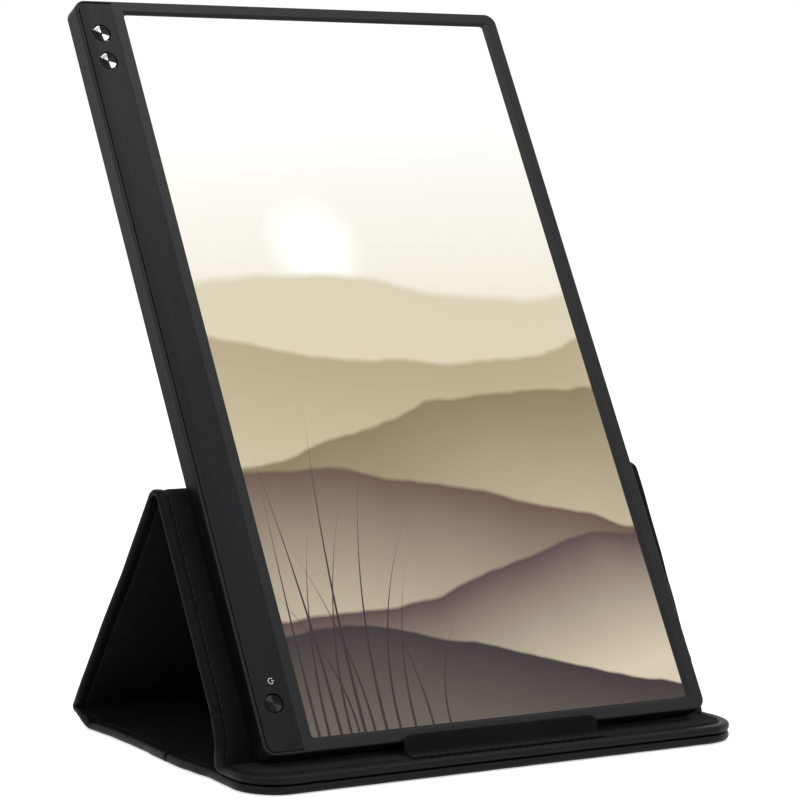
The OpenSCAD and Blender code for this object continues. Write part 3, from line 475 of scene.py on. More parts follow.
def turned_metal(name, centre, dark_tone, painted_glint):
    """Metal turned in circles round centre, with a painted highlight in two opposite sectors."""
    mat, shader = finish(name, dark_tone, 0.27, Metallic=1.0, Anisotropic=0.85)
    arm = node(mat, "VectorMath", i0=node(mat, "TexCoord").outputs["Object"], i1=centre)
    arm.operation = "SUBTRACT"
    around = node(mat, "VectorMath", i0=screen_out, i1=arm.outputs[0])
    around.operation = "CROSS_PRODUCT"
    mat.node_tree.links.new(around.outputs[0], shader.inputs["Tangent"])
    reach = node(mat, "VectorMath", i0=arm.outputs[0])
    reach.operation = "LENGTH"
    rings = calc(mat, "SINE", calc(mat, "MULTIPLY", reach.outputs["Value"], 26000.0))
    bumps(mat, shader, rings, 0.004, 0.4)
    unit = node(mat, "VectorMath", i0=arm.outputs[0])
    unit.operation = "NORMALIZE"
    facing = node(mat, "VectorMath", i0=unit.outputs[0], i1=sector_way)
    facing.operation = "DOT_PRODUCT"
    # Painted highlight: the colour brightens in the two sectors that lie along sector_way.
    sector = calc(mat, "MULTIPLY_ADD", calc(mat, "ABSOLUTE", facing.outputs["Value"]), 9.0, -7.4, clamp=True)
    vary(mat, shader, "Base Color", sector, dark_tone, painted_glint)
    return mat

# Each cap's dark tone and its painted highlight tone; the upper caps get the brighter painted highlight.
upper_tones = (linear(17, 17, 18), linear(150, 150, 153))
lower_tones = (linear(22, 22, 23), linear(50, 50, 52))
monitor_t = 10
for cap, y in button_y.items():
    tones = lower_tones if cap == "power_button" else upper_tones
    cap_metal = turned_metal(cap + "_metal", on_monitor(button_x, y, monitor_t), *tones)
    frame["nodes"][cap].data.materials.clear()
    frame["nodes"][cap].data.materials.append(cap_metal)
print("caps:", list(button_y))

# %% [markdown]
# ## Finishes for the pieces inside
# Nothing inside shows in the photograph, but the part can be opened in another scene, so each piece still
# gets a real finish: green solder mask with a trace pattern, tinned steel, amber film and so on. They all
# come from one recipe with other numbers, a Principled shader with one noise in its colour and bump.

# %% Inner finishes
def plain_finish(name, dark, light, roughness, scale, depth_mm, **sockets):
    """A finish whose colour and surface vary with one noise."""
    mat, shader = finish(name, light, roughness, **sockets)
    spots = node(mat, "TexNoise", Vector=own_place(mat), Scale=scale, Detail=3.0)
    vary(mat, shader, "Base Color", spots.outputs["Fac"], dark, light)
    bumps(mat, shader, spots.outputs["Fac"], depth_mm, 0.5)
    return mat

inner_finishes = {
    "solder_mask": (plain_finish("solder_mask", linear(18, 78, 50), linear(32, 104, 66), 0.35, 500.0, 0.02),
                    ("main_board", "driver_board", "upper_button_board", "lower_button_board")),
    "tinned_steel": (plain_finish("tinned_steel", linear(168), linear(198), 0.34, 260.0, 0.01, Metallic=1.0),
                     ("shield_can", "usb_socket", "tact_switches", "board_screws")),
    "tray_sheet": (plain_finish("tray_sheet", linear(180), linear(208), 0.42, 120.0, 0.01, Metallic=1.0),
                   ("backlight_tray",)),
    "amber_film": (plain_finish("amber_film", linear(150, 92, 30), linear(190, 126, 48), 0.3, 300.0, 0.01),
                   ("panel_cable", "button_cable")),
    "pearl_film": (plain_finish("pearl_film", linear(222), linear(240), 0.25, 200.0, 0.005),
                   ("diffuser_films",)),
    "clear_guide": (plain_finish("clear_guide", linear(205, 222, 222), linear(228, 240, 240), 0.1, 90.0,
                                 0.004, Transmission_Weight=0.6), ("light_guide",)),
    "white_moulding": (plain_finish("white_moulding", linear(208), linear(228), 0.5, 900.0, 0.02),
                       ("panel_frame",)),
    "lamp_bar": (plain_finish("lamp_bar", linear(214, 196, 120), linear(236, 222, 150), 0.4, 700.0, 0.02),
                 ("led_strip",)),
    "grey_board": (plain_finish("grey_board", linear(118, 112, 104), linear(146, 140, 130), 0.9, 1400.0,
                                0.05),
                   ("base_board", "ledge_board", "riser_board", "backrest_board", "leg_board", "spine_board",
                    "lip_core")),
    "nickel": (plain_finish("nickel", linear(186), linear(206), 0.2, 200.0, 0.004, Metallic=1.0),
               ("base_magnets", "ledge_magnets")),
    "shell": (shell_plastic, ("front_frame", "rear_cover")),
    "plate": (brushed_plate, ("chin_plate",)),
    "glass": (screen, ("lcd_glass",)),
}
for mat, names in inner_finishes.values():
    for name in names:
        frame["nodes"][name].data.materials.clear()
        frame["nodes"][name].data.materials.append(mat)
print("finished", sum(len(names) for _, names in inner_finishes.values()) + 3, "CAD pieces")

# %% [markdown]
# ## The cover's path
# Seen from the side the cover is one long strip: six flat panels joined by five bends. If every point of
# the cover is written as a distance along that strip, a distance across it, and a depth below its outer
# side, then its edge, its seams and its stitches can be laid out as if it were flat, and one function
# bends them all into the stand. A Simple Deform modifier can't do this, because each bend has its own
# radius. Each panel is a straight piece of path, each bend an arc round the axis of the CAD joint.

# %% Fold axes and slopes
folds = [j for j in frame["joints"] if j["name"].endswith("_fold")]
axes = {j["name"]: (1000 * j["pos_m"][1], 1000 * j["pos_m"][2]) for j in folds}
turns = {j["name"]: j["range_deg"][1] for j in folds}
cover_w, corner_r = 250.0, 19.0
slopes = {"ledge": 0.0, "riser": 75.0, "backrest": 59.0, "base": -180.0}
slopes["leg"] = slopes["backrest"] - turns["apex_fold"]
slopes["spine"] = slopes["leg"] - turns["heel_fold"]

def along(angle):
    """The way a stretch of that slope runs, in the side view."""
    return Vector((math.cos(math.radians(angle)), math.sin(math.radians(angle))))

def outward(angle):
    """The way its outer side looks."""
    return Vector((-math.sin(math.radians(angle)), math.cos(math.radians(angle))))

print("slopes in degrees:", {name: round(slope, 1) for name, slope in slopes.items()})

# %% The strip's side view
path = []        # one row a stretch: where it starts and ends, its point, its slopes and its radius

def add_bend(joint, before, after, radius, mid_radius):
    """A bend round a joint's axis, as long as an arc of mid_radius."""
    start = path[-1]["end"]
    length = mid_radius * math.radians(abs(slopes[after] - slopes[before]))
    path.append({"start": start, "end": start + length, "name": joint, "point": Vector(axes[joint]),
                 "from": slopes[before], "to": slopes[after], "radius": radius})

def add_panel(name, point, length):
    """A straight stretch that begins at point."""
    start = path[-1]["end"] if path else 0.0
    path.append({"start": start, "end": start + length, "name": name, "point": point,
                 "from": slopes[name], "to": slopes[name], "radius": None})

def panel_between(name, first, last, r_first, r_last):
    """A panel from one bend's end to the next bend's start."""
    a = Vector(axes[first]) + r_first * outward(slopes[name])
    b = Vector(axes[last]) + r_last * outward(slopes[name])
    add_panel(name, a, (b - a).length)

ledge_front = Vector((1000 * cad_low.y, axes["riser_fold"][1]))
add_panel("ledge", ledge_front, axes["riser_fold"][0] - ledge_front.x)
add_bend("riser_fold", "ledge", "riser", 0.0, 1.9)
panel_between("riser", "riser_fold", "backrest_fold", 0.0, 4.2)
add_bend("backrest_fold", "riser", "backrest", 4.2, 2.3)
panel_between("backrest", "backrest_fold", "apex_fold", 4.2, 6.6)
add_bend("apex_fold", "backrest", "leg", 6.6, 4.7)
panel_between("leg", "apex_fold", "heel_fold", 6.6, 4.2)
add_bend("heel_fold", "leg", "spine", 4.2, 2.3)
panel_between("spine", "heel_fold", "base_fold", 4.2, 4.2)
add_bend("base_fold", "spine", "base", 4.2, 2.3)
base_front = Vector((ledge_front.x, 0.0))
base_rear = Vector(axes["base_fold"]) + 4.2 * outward(slopes["base"])
add_panel("base", base_rear, (base_front - base_rear).length)
cover_l = path[-1]["end"]
stretch = {p["name"]: p for p in path}
for p in path:
    print(f"{p['name']:14s} from {p['start']:7.2f} to {p['end']:7.2f} mm along the strip")

# %% From the flat strip to the stand
monitor_reach = 114.5      # the heel folds sharper beyond this, where the monitor never lies on it

def bent(x, s, depth):
    """The point at x across, s along and depth under the outer side, in metres in the row frame."""
    part = next((p for p in path if s <= p["end"]), path[-1])
    if part["radius"] is None:
        spot = part["point"] + (s - part["start"]) * along(part["from"])
        normal = outward(part["from"])
    else:
        share = (s - part["start"]) / (part["end"] - part["start"])
        angle = part["from"] + share * (part["to"] - part["from"])
        normal = outward(angle)
        beside_monitor = min(1.0, max(0.0, (abs(x) - monitor_reach) / 6))
        sharper = 0.3 * beside_monitor if part["name"] == "heel_fold" else 0.0
        sharp = 1 + sharper * math.sin(math.pi * share) ** 1.5
        spot = part["point"] + part["radius"] * sharp * normal
    spot = spot - depth * normal
    return Vector((x + sway(x, s), spot.x, spot.y)) * MM

def between(rows, s):
    """Value at s in a short list of (place, value) rows, smooth from each row to the next."""
    for (a, low), (b, high) in zip(rows, rows[1:]):
        if a <= s <= b:
            t = (s - a) / (b - a)
            return low + (high - low) * t * t * (3 - 2 * t)
    return rows[0][1] if s < rows[0][0] else rows[-1][1]

# Where the edge strays: distance along the strip, and how far to the right, in mm.
left_sway = [(0, 0), (27, 0.3), (34, -0.7), (41, 0.5), (49, 0.2), (54, 0.0), (158, 0.1), (196, 0.0),
             (236, -1.2), (272, -1.7), (286, -1.3), (298, 0.3), (310, 1.25), (326, 1.25), (342, 0.9),
             (352, -0.1), (363, -0.5), (376, -0.8), (386, 0.0), (397, 1.3), (412, 0.6), (425, 0)]
right_sway = [(0, 0.6), (20, 0.3), (32, -0.6), (42, -1.6), (54, -2.7), (68, -2.6), (90, -1.7), (115, -0.7),
              (145, 0), (390, 0), (439, 0.5)]

def sway(x, s):
    """How far the cover's hand-cut edge strays sideways, in mm, fading out towards the middle."""
    t = min(1.0, max(0.0, (abs(x) - 70) / 50))
    return t * t * (3 - 2 * t) * between(left_sway if x < 0 else right_sway, s)

def near_bend(s, reach=5.0):
    """1 in a bend, falling to 0 at reach behind it, and sooner before it, where the board comes closer."""
    gap = min(max(4 * (p["start"] - s), s - p["end"], 0.0) for p in path if p["radius"] is not None)
    t = max(0.0, 1 - gap / reach)
    return t * t * (3 - 2 * t)

def middle_of(name):
    """Distance along the strip to the middle of a panel or bend."""
    return (stretch[name]["start"] + stretch[name]["end"]) / 2

print("top of the cover:", [round(1000 * v, 1) for v in bent(0, middle_of("apex_fold"), 0)])

# %% [markdown]
# ## Cross-section of the edge
# At the edge the leather is turned over the board and sewn down 5 mm in, so it stands up in a soft roll,
# dips at the seam, and goes on flat. The profile is a list of pairs: how far in from the edge, and how
# deep under the outer side. The suede is let in from the seam inwards. Between the boards, at each bend,
# there is nothing inside to keep the leather apart, so the cover gets thinner there.

# %% Edge profile
outer_profile = [(0.0, 1.9), (0.1, 1.2), (0.38, 0.6), (0.9, 0.2), (1.7, -0.04), (2.7, -0.06), (3.6, 0.05),
                 (4.2, 0.24), (4.65, 0.5), (4.95, 0.62), (5.4, 0.66), (5.9, 0.6), (6.3, 0.26), (8.0, 0.14),
                 (12.0, 0.14)]
inner_profile = [(0.1, 2.6), (0.38, 3.2), (0.9, 3.6), (1.7, 3.8), (2.9, 3.83), (4.0, 3.8), (4.6, 3.66),
                 (4.95, 3.56), (5.3, 3.66), (5.9, 3.8), (7.5, 3.82), (12.0, 3.82)]
seam_in = 4.95

def wrinkle(x, s, side):
    """Small unevenness of the turned leather, in mm; more of it beside the bends."""
    soft = 0.11 * noise.noise(Vector((x / 9, s / 9, side)))
    soft += 0.05 * noise.noise(Vector((x / 3, s / 3, side + 7)))
    crease = 0.22 * near_bend(s, 9.0) * noise.noise(Vector((x / 6, s / 2.2, side + 3)))
    return soft + crease

lap_end = 364.0      # the second strip of border leather starts here on the left edge, under the first
crease_at = 53.4     # the border is pinched where the riser meets the backrest

def lap(x, s, inset):
    """Extra thickness of the first strip where it lies over the second, in mm."""
    if x >= -100 or s >= lap_end:
        return 0.0
    return 0.5 * max(0.0, min(1.0, (s - 330) / 30)) * max(0.0, 1 - inset / 9)

def notch(x, s, inset):
    """Depth of the gap between the two strips, just behind the lap, in mm."""
    if x >= -100:
        return 0.0
    return 0.9 * math.exp(-((s - lap_end - 0.45) / 0.4) ** 2) * max(0.0, 1 - inset / 9)

def pinch(s, inset):
    """Depth of the crease across the border, and the swelling beside it."""
    gap = abs(s - crease_at)
    crease, swelling = 0.75 * math.exp(-(gap / 0.9) ** 2), 0.35 * math.exp(-((gap - 3) / 2) ** 2)
    return (crease - swelling) * max(0.0, 1 - inset / 7)

def section_at(x, s, in_x, in_s):
    """The profile's points at one place of the edge, from the outer side round to the inner one."""
    ring = []
    thin = near_bend(s)
    for inset, depth in reversed(outer_profile):
        roll = max(0.0, 1 - inset / 5.5)
        depth += 0.3 * thin * min(1.0, inset / 2) + min(0.12, wrinkle(x, s, 1)) * roll + pinch(s, inset)
        gap = notch(x, s, inset)
        ring.append(bent(x + (inset + gap) * in_x, s + inset * in_s, depth + gap))
    for inset, depth in inner_profile:
        roll = max(0.0, 1 - inset / 6)
        depth += lap(x, s, inset) - 1.25 * thin * min(1.0, inset / 2) - max(-0.05, wrinkle(x, s, 5)) * roll
        gap = notch(x, s, inset)
        ring.append(bent(x + (inset + gap - lap(x, s, inset)) * in_x, s + inset * in_s, depth - gap))
    return ring

print("profile points:", len(outer_profile) + len(inner_profile))

# %% [markdown]
# ## One piece of cover for each bend
# The stand can open flat, and each piece may bend between only two bodies. So the strip is cut in the
# middle of its panels, which leaves one bend in each piece: the cuts fall where nothing bends and don't
# show. The edge is walked in small steps, with a section at each, and neighbouring sections are joined
# with quads. The wide middle is filled with long faces from the left edge to the right. A bevel on a solid
# slab would be quicker, but gives the same hard radius everywhere and no seam.

# %% Walking the edge
half_w = cover_w / 2
corner_x = half_w - corner_r      # where the straight front and rear edges end and the corners start

def start_corner(a):
    """Left corner of a rounded start at angle a from the front, as (x, s, inward x, inward s)."""
    return (-corner_x - corner_r * math.sin(a), corner_r - corner_r * math.cos(a), math.sin(a), math.cos(a))

def end_corner(a):
    """Left corner of a rounded end at angle a from the side, as (x, s, inward x, inward s)."""
    return (-corner_x - corner_r * math.cos(a), cover_l - corner_r + corner_r * math.sin(a),
            math.cos(a), -math.sin(a))

def rows_between(s0, s1, step=2.6):
    """Distances along the strip: even steps on panels, close ones in bends."""
    rows = [s0]
    for p in path:
        a, b = max(p["start"], s0), min(p["end"], s1)
        if b <= a:
            continue
        if p["radius"] is None:
            count = max(1, round((b - a) / step))
        else:
            count = max(3, round(abs(p["to"] - p["from"]) / 8))
        rows += [a + (b - a) * (k + 1) / count for k in range(count)]
    extra = [p["start"] - 1.2 for p in path if p["radius"] is not None]
    extra += [lap_end + k for k in (-0.4, -0.05, 0.05, 0.25, 0.45, 0.7, 1.0, 1.4)]
    extra += [crease_at + k for k in (-4, -3, -2, -1.2, -0.6, 0.6, 1.2, 2, 3, 4)]
    return sorted(rows + [s for s in extra if s0 < s < s1])

def edge_walk(s0, s1, rounded_start, rounded_end):
    """Left edge from s0 to s1, as (x, s, inward x, inward s). A rounded end carries on to the middle line."""
    walk = []
    if rounded_start:
        walk += [(-corner_x * k / 27, 0.0, 0.0, 1.0) for k in range(27)]
        walk += [start_corner(math.pi / 2 * k / 12) for k in range(12)]
    a, b = (corner_r if rounded_start else s0), (cover_l - corner_r if rounded_end else s1)
    walk += [(-half_w, s, 1.0, 0.0) for s in rows_between(a, b)]
    if rounded_end:
        walk += [end_corner(math.pi / 2 * (k + 1) / 12) for k in range(12)]
        walk += [(-corner_x * (26 - k) / 27, cover_l, 0.0, -1.0) for k in range(27)]
    return walk

print("steps along the ledge piece:", len(edge_walk(0, 43, True, False)))

# %% Mesh helpers
def as_mesh(bm, name):
    """The finished mesh of what was built."""
    mesh = bpy.data.meshes.new(name)
    bm.to_mesh(mesh)
    bm.free()
    return mesh

def new_object(name, mesh):
    """An object in the scene that shows the mesh."""
    obj = bpy.data.objects.new(name, mesh)
    scene.collection.objects.link(obj)
    return obj

def loft(bm, rings):
    """Joins each ring of points to the next and closes both ends."""
    for one, two in zip(rings, rings[1:]):
        for c in range(len(one)):
            n = (c + 1) % len(one)
            bm.faces.new((one[c], one[n], two[n], two[c]))
    bm.faces.new(rings[0])
    bm.faces.new(list(reversed(rings[-1])))

print("mesh helpers ready in", bpy.app.version_string)

# %% Building a piece
def cover_piece(name, s0, s1, rounded_start=False, rounded_end=False):
    """The closed mesh of the strip from s0 to s1: leather, with suede inside the seam of the outer side."""
    walk = edge_walk(s0, s1, rounded_start, rounded_end)
    bm = bmesh.new()
    left = [[bm.verts.new(p) for p in section_at(x, s, ix, iy)] for x, s, ix, iy in walk]
    right = [[bm.verts.new(p) for p in section_at(-x, s, -ix, iy)] if abs(x) > 1e-6 else left[i]
             for i, (x, s, ix, iy) in enumerate(walk)]
    suede_to = sum(inset > seam_in for inset, _ in outer_profile)
    inner_from = len(outer_profile) + sum(inset < seam_in for inset, _ in inner_profile)
    for i in range(len(walk) - 1):
        for side in (left, right):
            for k in range(len(side[0]) - 1):
                face = bm.faces.new((side[i][k], side[i + 1][k], side[i + 1][k + 1], side[i][k + 1]))
                face.material_index = 1 if k < suede_to else 0 if k < inner_from else 3
    straight = [i for i, (x, s, ix, iy) in enumerate(walk) if abs(iy) < 0.999]
    first, last = straight[0], straight[-1]
    front_run, back_run = list(range(first - 1, -1, -1)), list(range(last + 1, len(walk)))
    for k, index in ((0, 1), (-1, 3)):
        start_run = [left[j][k] for j in front_run] + [right[j][k] for j in reversed(front_run) if j]
        end_run = [left[j][k] for j in back_run] + [right[j][k] for j in reversed(back_run[:-1])]
        for i in range(first, last):
            corners = [left[i + 1][k], left[i][k]]
            corners += start_run if i == first else []
            corners += [right[i][k], right[i + 1][k]]
            corners += reversed(end_run) if i == last - 1 else []
            bm.faces.new(corners).material_index = index
    caps = []
    for i, rounded in ((0, rounded_start), (len(walk) - 1, rounded_end)):
        if not rounded:
            caps.append(bm.faces.new(left[i] + list(reversed(right[i]))))
    bmesh.ops.recalc_face_normals(bm, faces=bm.faces)
    for face in bm.faces:
        face.smooth = face not in caps
    for cap in caps:
        for edge in cap.edges:
            edge.smooth = False
    return as_mesh(bm, name)

trial = cover_piece("trial", 43, 60)
print("a plain stretch has", len(trial.polygons), "faces")
bpy.data.meshes.remove(trial)

# %% [markdown]
# ## Stitches
# The seam is sewn with thick thread. Each stitch is a short rod of thread that dips into the leather at
# both ends. A bump line would look like a groove only, so each stitch is real: five rings of six points,
# laid in the same flat strip and bent with it, so that they follow the corners and the bends.

# %% Places for stitches
def edge_point(t, s0, s1, rounded_start, rounded_end):
    """Place on the left edge after t mm, from the middle of a rounded start, or from s0."""
    corner_l = corner_r * math.pi / 2
    if rounded_start:
        if t < corner_x:
            return (-t, 0.0, 0.0, 1.0)
        t -= corner_x
        if t < corner_l:
            return start_corner(t / corner_r)
        t -= corner_l
    a, b = (corner_r if rounded_start else s0), (cover_l - corner_r if rounded_end else s1)
    if t <= b - a:
        return (-half_w, a + t, 1.0, 0.0)
    t -= b - a
    if not rounded_end:
        return None
    if t < corner_l:
        return end_corner(t / corner_r)
    t -= corner_l
    return (-corner_x + t, cover_l, 0.0, -1.0) if t < corner_x else None

print("the ledge's corner starts", corner_x, "mm from the middle:", edge_point(corner_x, 0, 43, True, False))

# %% Sewing
def add_stitch(bm, spots, depth, slant):
    """One stitch through a few (x, s, inward x, inward s) places, 5 mm in from the edge."""
    radii = (0.1, 0.2, 0.23, 0.2, 0.1)
    dips = (0.2, 0.05, 0.0, 0.05, 0.2)
    rings = []
    for k, (x, s, ix, iy) in enumerate(spots):
        inset = seam_in + slant * (k - 2) / 2
        ring = []
        for c in range(6):
            a = math.tau * c / 6
            inward, up = inset + radii[k] * math.cos(a), radii[k] * math.sin(a)
            sign = 1 if depth < 2 else -1
            spot = bent(x + inward * ix, s + inward * iy, depth + sign * (dips[k] - up))
            ring.append(bm.verts.new(spot))
        rings.append(ring)
    loft(bm, rings)

stitch_pitch, stitch_l = 3.7, 3.5      # from one stitch to the next, and the length of one, in mm

def sew(name, *ends):
    """All stitches of one piece, on both sides of the strip and at both edges."""
    bm = bmesh.new()
    t, count = stitch_pitch / 2, 0
    while True:
        spots = [edge_point(t + stitch_l * (k / 4 - 0.5), *ends) for k in range(5)]
        if any(p is None for p in spots):
            break
        thin = near_bend(spots[2][1])
        for side in (1, -1):
            places = [(side * x, s, side * ix, iy) for x, s, ix, iy in spots]
            add_stitch(bm, places, 0.42 + 0.3 * thin, 0.22)
            add_stitch(bm, places, 3.62 - 1.25 * thin, -0.22)
            count += 2
        t += stitch_pitch
    bmesh.ops.recalc_face_normals(bm, faces=bm.faces)
    for face in bm.faces:
        face.smooth, face.material_index = True, 2
    return as_mesh(bm, name), count

print("stitches are", stitch_l, "mm long, one every", stitch_pitch, "mm")

# %% Cutting, sewing and bending the five pieces
def joined(name, meshes):
    """One mesh from several, with the cover's finishes."""
    bm = bmesh.new()
    for mesh in meshes:
        bm.from_mesh(mesh)
        bpy.data.meshes.remove(mesh)
    obj = new_object(name, as_mesh(bm, name))
    for mat in (leather, suede, thread, inner_leather_painted_light):
        obj.data.materials.append(mat)
    return obj

cuts = [0.0] + [middle_of(n) for n in ("riser", "backrest", "leg", "spine")] + [cover_l]
bends = [  # piece, joint, bodies, half length of the blend, CAD nodes that it stands for
    ("cover_ledge", "riser_fold", "ledge", "riser", 3.4,
     ("ledge_skin", "ledge_lining", "riser_skin", "riser_lining")),
    ("cover_riser", "backrest_fold", "riser", "backrest", 4.0, ("backrest_skin", "backrest_lining")),
    ("cover_apex", "apex_fold", "backrest", "leg", 5.4, ("leg_skin", "leg_lining")),
    ("cover_heel", "heel_fold", "leg", "spine", 3.4, ("spine_skin", "spine_lining")),
    ("cover_base", "base_fold", "spine", "base", 3.6, ("base_skin", "base_lining")),
]
for k, (name, joint, before, after, reach, nodes) in enumerate(bends):
    ends = (cuts[k], cuts[k + 1], k == 0, k == len(bends) - 1)
    stitches, count = sew(name + "_thread", *ends)
    piece = joined(name, [cover_piece(name + "_skin", *ends), stitches])
    centre = Vector((0, *axes[joint]))
    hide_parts(*nodes)
    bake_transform(piece)
    print(f"{name}: {len(piece.data.polygons)} faces, {count} stitches")

# %% [markdown]
# ## Two boards cut to the edge
# The cover's right edge draws in by up to 2.7 mm where the riser meets the backrest, and the straight boards
# of those two panels would come through it. Making the leather straight would be easier, but the edge would
# lose its hand-made look, so the two boards are cut again as slabs that follow it.

# %% Riser and backrest boards
board_top, board_bottom = 0.9, 2.9      # depths of a board's two faces, in mm
board_side = 1.9                        # how far its sides lie in from the cover's edge
board_start, board_stop = 4.5, 1.2      # how far it stays from the bend before it and the bend after it

def board_slab(name, s0, s1):
    """A slab that keeps its distance from the edges that the leather has here."""
    half = half_w - board_side
    count = round((s1 - s0) / 2.5)
    outline = ((-half, board_top), (half, board_top), (half, board_bottom), (-half, board_bottom))
    bm = bmesh.new()
    rows = []
    for k in range(count + 1):
        s = s0 + (s1 - s0) * k / count
        rows.append([bm.verts.new(bent(x, s, depth)) for x, depth in outline])
    loft(bm, rows)
    bmesh.ops.recalc_face_normals(bm, faces=bm.faces)
    obj = new_object(name, as_mesh(bm, name))
    obj.data.materials.append(inner_finishes["grey_board"][0])
    return obj

for panel in ("riser", "backrest"):
    run = stretch[panel]
    slab = board_slab(panel + "_slab", run["start"] + board_start, run["end"] - board_stop)
    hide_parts(panel + "_board")
    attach(slab, panel)
    print(slab.name, "has", len(slab.data.polygons), "faces")

# %% [markdown]
# ## The flap on the ledge
# A narrow suede flap stands up along the ledge's front and keeps the monitor from sliding off. It is sewn to
# the ledge by a strip of its own, so it is one folded sheet: a low strip in front of the fold, and the
# upright flap with rounded top corners behind it. Lofting a side profile across the width gives both at once.

# %% Flap
flap = next(j for j in frame["joints"] if j["name"] == "flap_fold")
flap_y, flap_z = 1000 * flap["pos_m"][1], 1000 * flap["pos_m"][2]
flap_x, flap_w, flap_h, flap_t, flap_lean = 2.5, 98.0, 8.8, 1.8, 15.0
flap_up = Vector((math.sin(math.radians(flap_lean)), math.cos(math.radians(flap_lean))))
flap_out = Vector((-flap_up.y, flap_up.x))
ledge_top, flap_r = 7.8, 3.5            # height of the ledge, and radius of the flap's top corners
strip_profile = (                       # the sewn strip: distance behind the fold, height over its foot
    (-4.6, -0.2), (-4.6, 0.25), (-4.2, 0.5), (-3.0, 0.56), (-1.9, 0.62), (-1.2, 0.86))

def flap_point(x, up, out):
    """A point of the standing flap: across, up it and out of its front."""
    p = Vector((flap_y, flap_z)) + up * flap_up + out * flap_out
    return Vector((flap_x + x, p.x, p.y)) * MM

def flap_section(x):
    """Ring of points round the flap and its strip, at one place across."""
    edge = max(0.0, abs(x) - (flap_w / 2 - flap_r))
    top = flap_h - (flap_r - math.sqrt(max(0.0, flap_r ** 2 - min(edge, flap_r) ** 2)))
    wave = 0.12 * noise.noise(Vector((x / 11, 2.0, 0.5)))
    up_side = [(k, -0.02 + wave * k / 9) for k in (1.6, 2.6, 4.0, 5.6, top - 1.2, top - 0.55)]
    ring = [Vector((flap_x + x, flap_y + d, ledge_top + 0.1 + h)) * MM for d, h in strip_profile]
    ring += [flap_point(x, 0.9, 0.22)]
    ring += [flap_point(x, min(u, top - 0.5), o) for u, o in up_side]
    ring += [flap_point(x, top - 0.12, -0.35), flap_point(x, top, -0.9), flap_point(x, top - 0.12, -1.45)]
    ring += [flap_point(x, min(u, top - 0.5), -flap_t - o) for u, o in reversed(up_side)]
    ring += [flap_point(x, 0.7, -flap_t - 0.1), Vector((flap_x + x, flap_y + 2.4, ledge_top - 0.05)) * MM]
    return ring

bm = bmesh.new()
spots = [-flap_w / 2 + flap_r * (1 - math.cos(math.pi / 2 * k / 6)) for k in range(6)]
spots += [-flap_w / 2 + flap_r + (flap_w - 2 * flap_r) * k / 40 for k in range(41)]
spots += [-x for x in reversed(spots[:6])]
loft(bm, [[bm.verts.new(p) for p in flap_section(x)] for x in spots])
bmesh.ops.recalc_face_normals(bm, faces=bm.faces)
for face in bm.faces:
    face.smooth = len(face.verts) == 4
flap_mesh = as_mesh(bm, "flap_skin")
print("flap:", len(flap_mesh.polygons), "faces")

# %% Flap's seam
seam_pitch, seam_stitch, seam_z = 3.4, 2.7, 8.48      # one stitch to the next, its length, its height
thread_rings = ((0.08, 0.2), (0.2, 0.03), (0.23, 0.0), (0.2, 0.03), (0.08, 0.2))      # radius, dip
spokes = [Vector((0, math.cos(math.tau * c / 6), math.sin(math.tau * c / 6))) for c in range(6)]
bm = bmesh.new()
x = -flap_w / 2 + 2
while x < flap_w / 2 - 2:
    rings = []
    for k, (radius, dip) in enumerate(thread_rings):
        centre = Vector((flap_x + x + seam_stitch * (k / 4 - 0.5), flap_y - 2.5 + 0.1 * (k - 2) / 2,
                         seam_z - dip))
        rings.append([bm.verts.new((centre + radius * spoke) * MM) for spoke in spokes])
    loft(bm, rings)
    x += seam_pitch
bmesh.ops.recalc_face_normals(bm, faces=bm.faces)
for face in bm.faces:
    face.smooth, face.material_index = True, 2
seam_mesh = as_mesh(bm, "flap_seam")
for polygon in flap_mesh.polygons:
    polygon.material_index = 1
flap_piece = joined("flap_suede", [flap_mesh, seam_mesh])
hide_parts("lip_flap")
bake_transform(flap_piece)
flap_top = max(v.co.z for v in flap_piece.data.vertices)
print("flap stands", round(1000 * flap_top - ledge_top, 1), "mm above the ledge")

# %% [markdown]
# ## Sign by the power button
# A small white power sign is printed above the lower button, an open ring with a bar in the gap. It is ink
# on the plate, so it is a very thin flat mesh just above it rather than a texture.

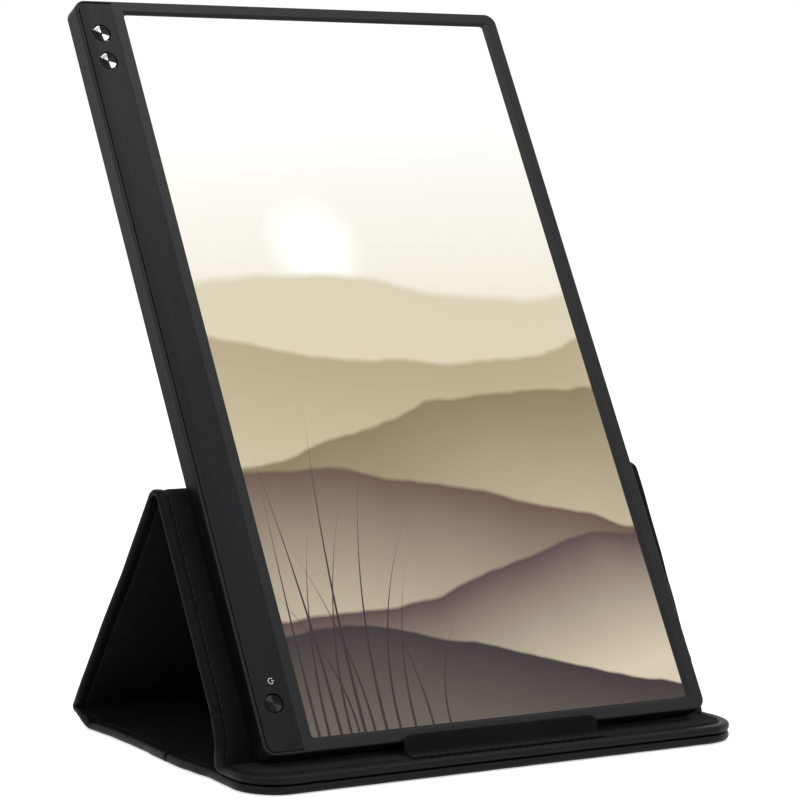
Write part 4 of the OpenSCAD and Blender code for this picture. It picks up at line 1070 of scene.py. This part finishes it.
# %% Power sign
sign_x, sign_y, sign_r, sign_w = -101.8, 32.1, 1.2, 0.3      # its place, and the ring's radius and width
ring_in, ring_out = sign_r - sign_w / 2, sign_r + sign_w / 2
bar_near, bar_far, bar_half = sign_x + 0.25, sign_x + 1.6, sign_w / 2
ring_steps, ring_start, ring_turn = 24, 42, 276              # the ring is open for 84 degrees, at the bar

def flat_piece(name, outlines, height):
    """Thin flat pieces on the monitor's front, from closed outlines in mm."""
    bm = bmesh.new()
    for outline in outlines:
        low = [bm.verts.new(on_monitor(x, y, height)) for x, y in outline]
        high = [bm.verts.new(on_monitor(x, y, height + 0.03)) for x, y in outline]
        bm.faces.new(list(reversed(low)))
        bm.faces.new(high)
        for k in range(len(outline)):
            n = (k + 1) % len(outline)
            bm.faces.new((low[k], low[n], high[n], high[k]))
    bmesh.ops.recalc_face_normals(bm, faces=bm.faces)
    return new_object(name, as_mesh(bm, name))

outlines = []
for k in range(ring_steps):
    a0, a1 = (math.radians(ring_start + ring_turn * (k + e) / ring_steps) for e in (0, 1))
    corners = ((ring_in, a0), (ring_out, a0), (ring_out, a1), (ring_in, a1))
    outlines.append([(sign_x + r * math.cos(a), sign_y + r * math.sin(a)) for r, a in corners])
outlines.append([(bar_near, sign_y - bar_half), (bar_far, sign_y - bar_half),
                 (bar_far, sign_y + bar_half), (bar_near, sign_y + bar_half)])
power_sign = flat_piece("power_sign", outlines, 9.99)
ink = plain_finish("white_ink", linear(205), linear(225), 0.6, 2000.0, 0.01)
power_sign.data.materials.append(ink)
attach(power_sign, "monitor")
print("power sign is", round(2 * ring_out, 1), "mm wide")

# %% [markdown]
# ## Soft edges on the hard pieces
# The CAD meshes have the right shape but flat shading on their small roundings. Smooth shading with a
# Weighted Normal modifier keeps the big faces flat and lets the light run round the roundings, without
# touching the mesh.

# %% Shading of the monitor
hard_pieces = ("front_frame", "rear_cover", "chin_plate", "menu_button", "input_button", "power_button")
for name in hard_pieces:
    weighted = frame["nodes"][name].modifiers.new("even_light", "WEIGHTED_NORMAL")
    weighted.keep_sharp = True
print("shaded", len(hard_pieces), "pieces")
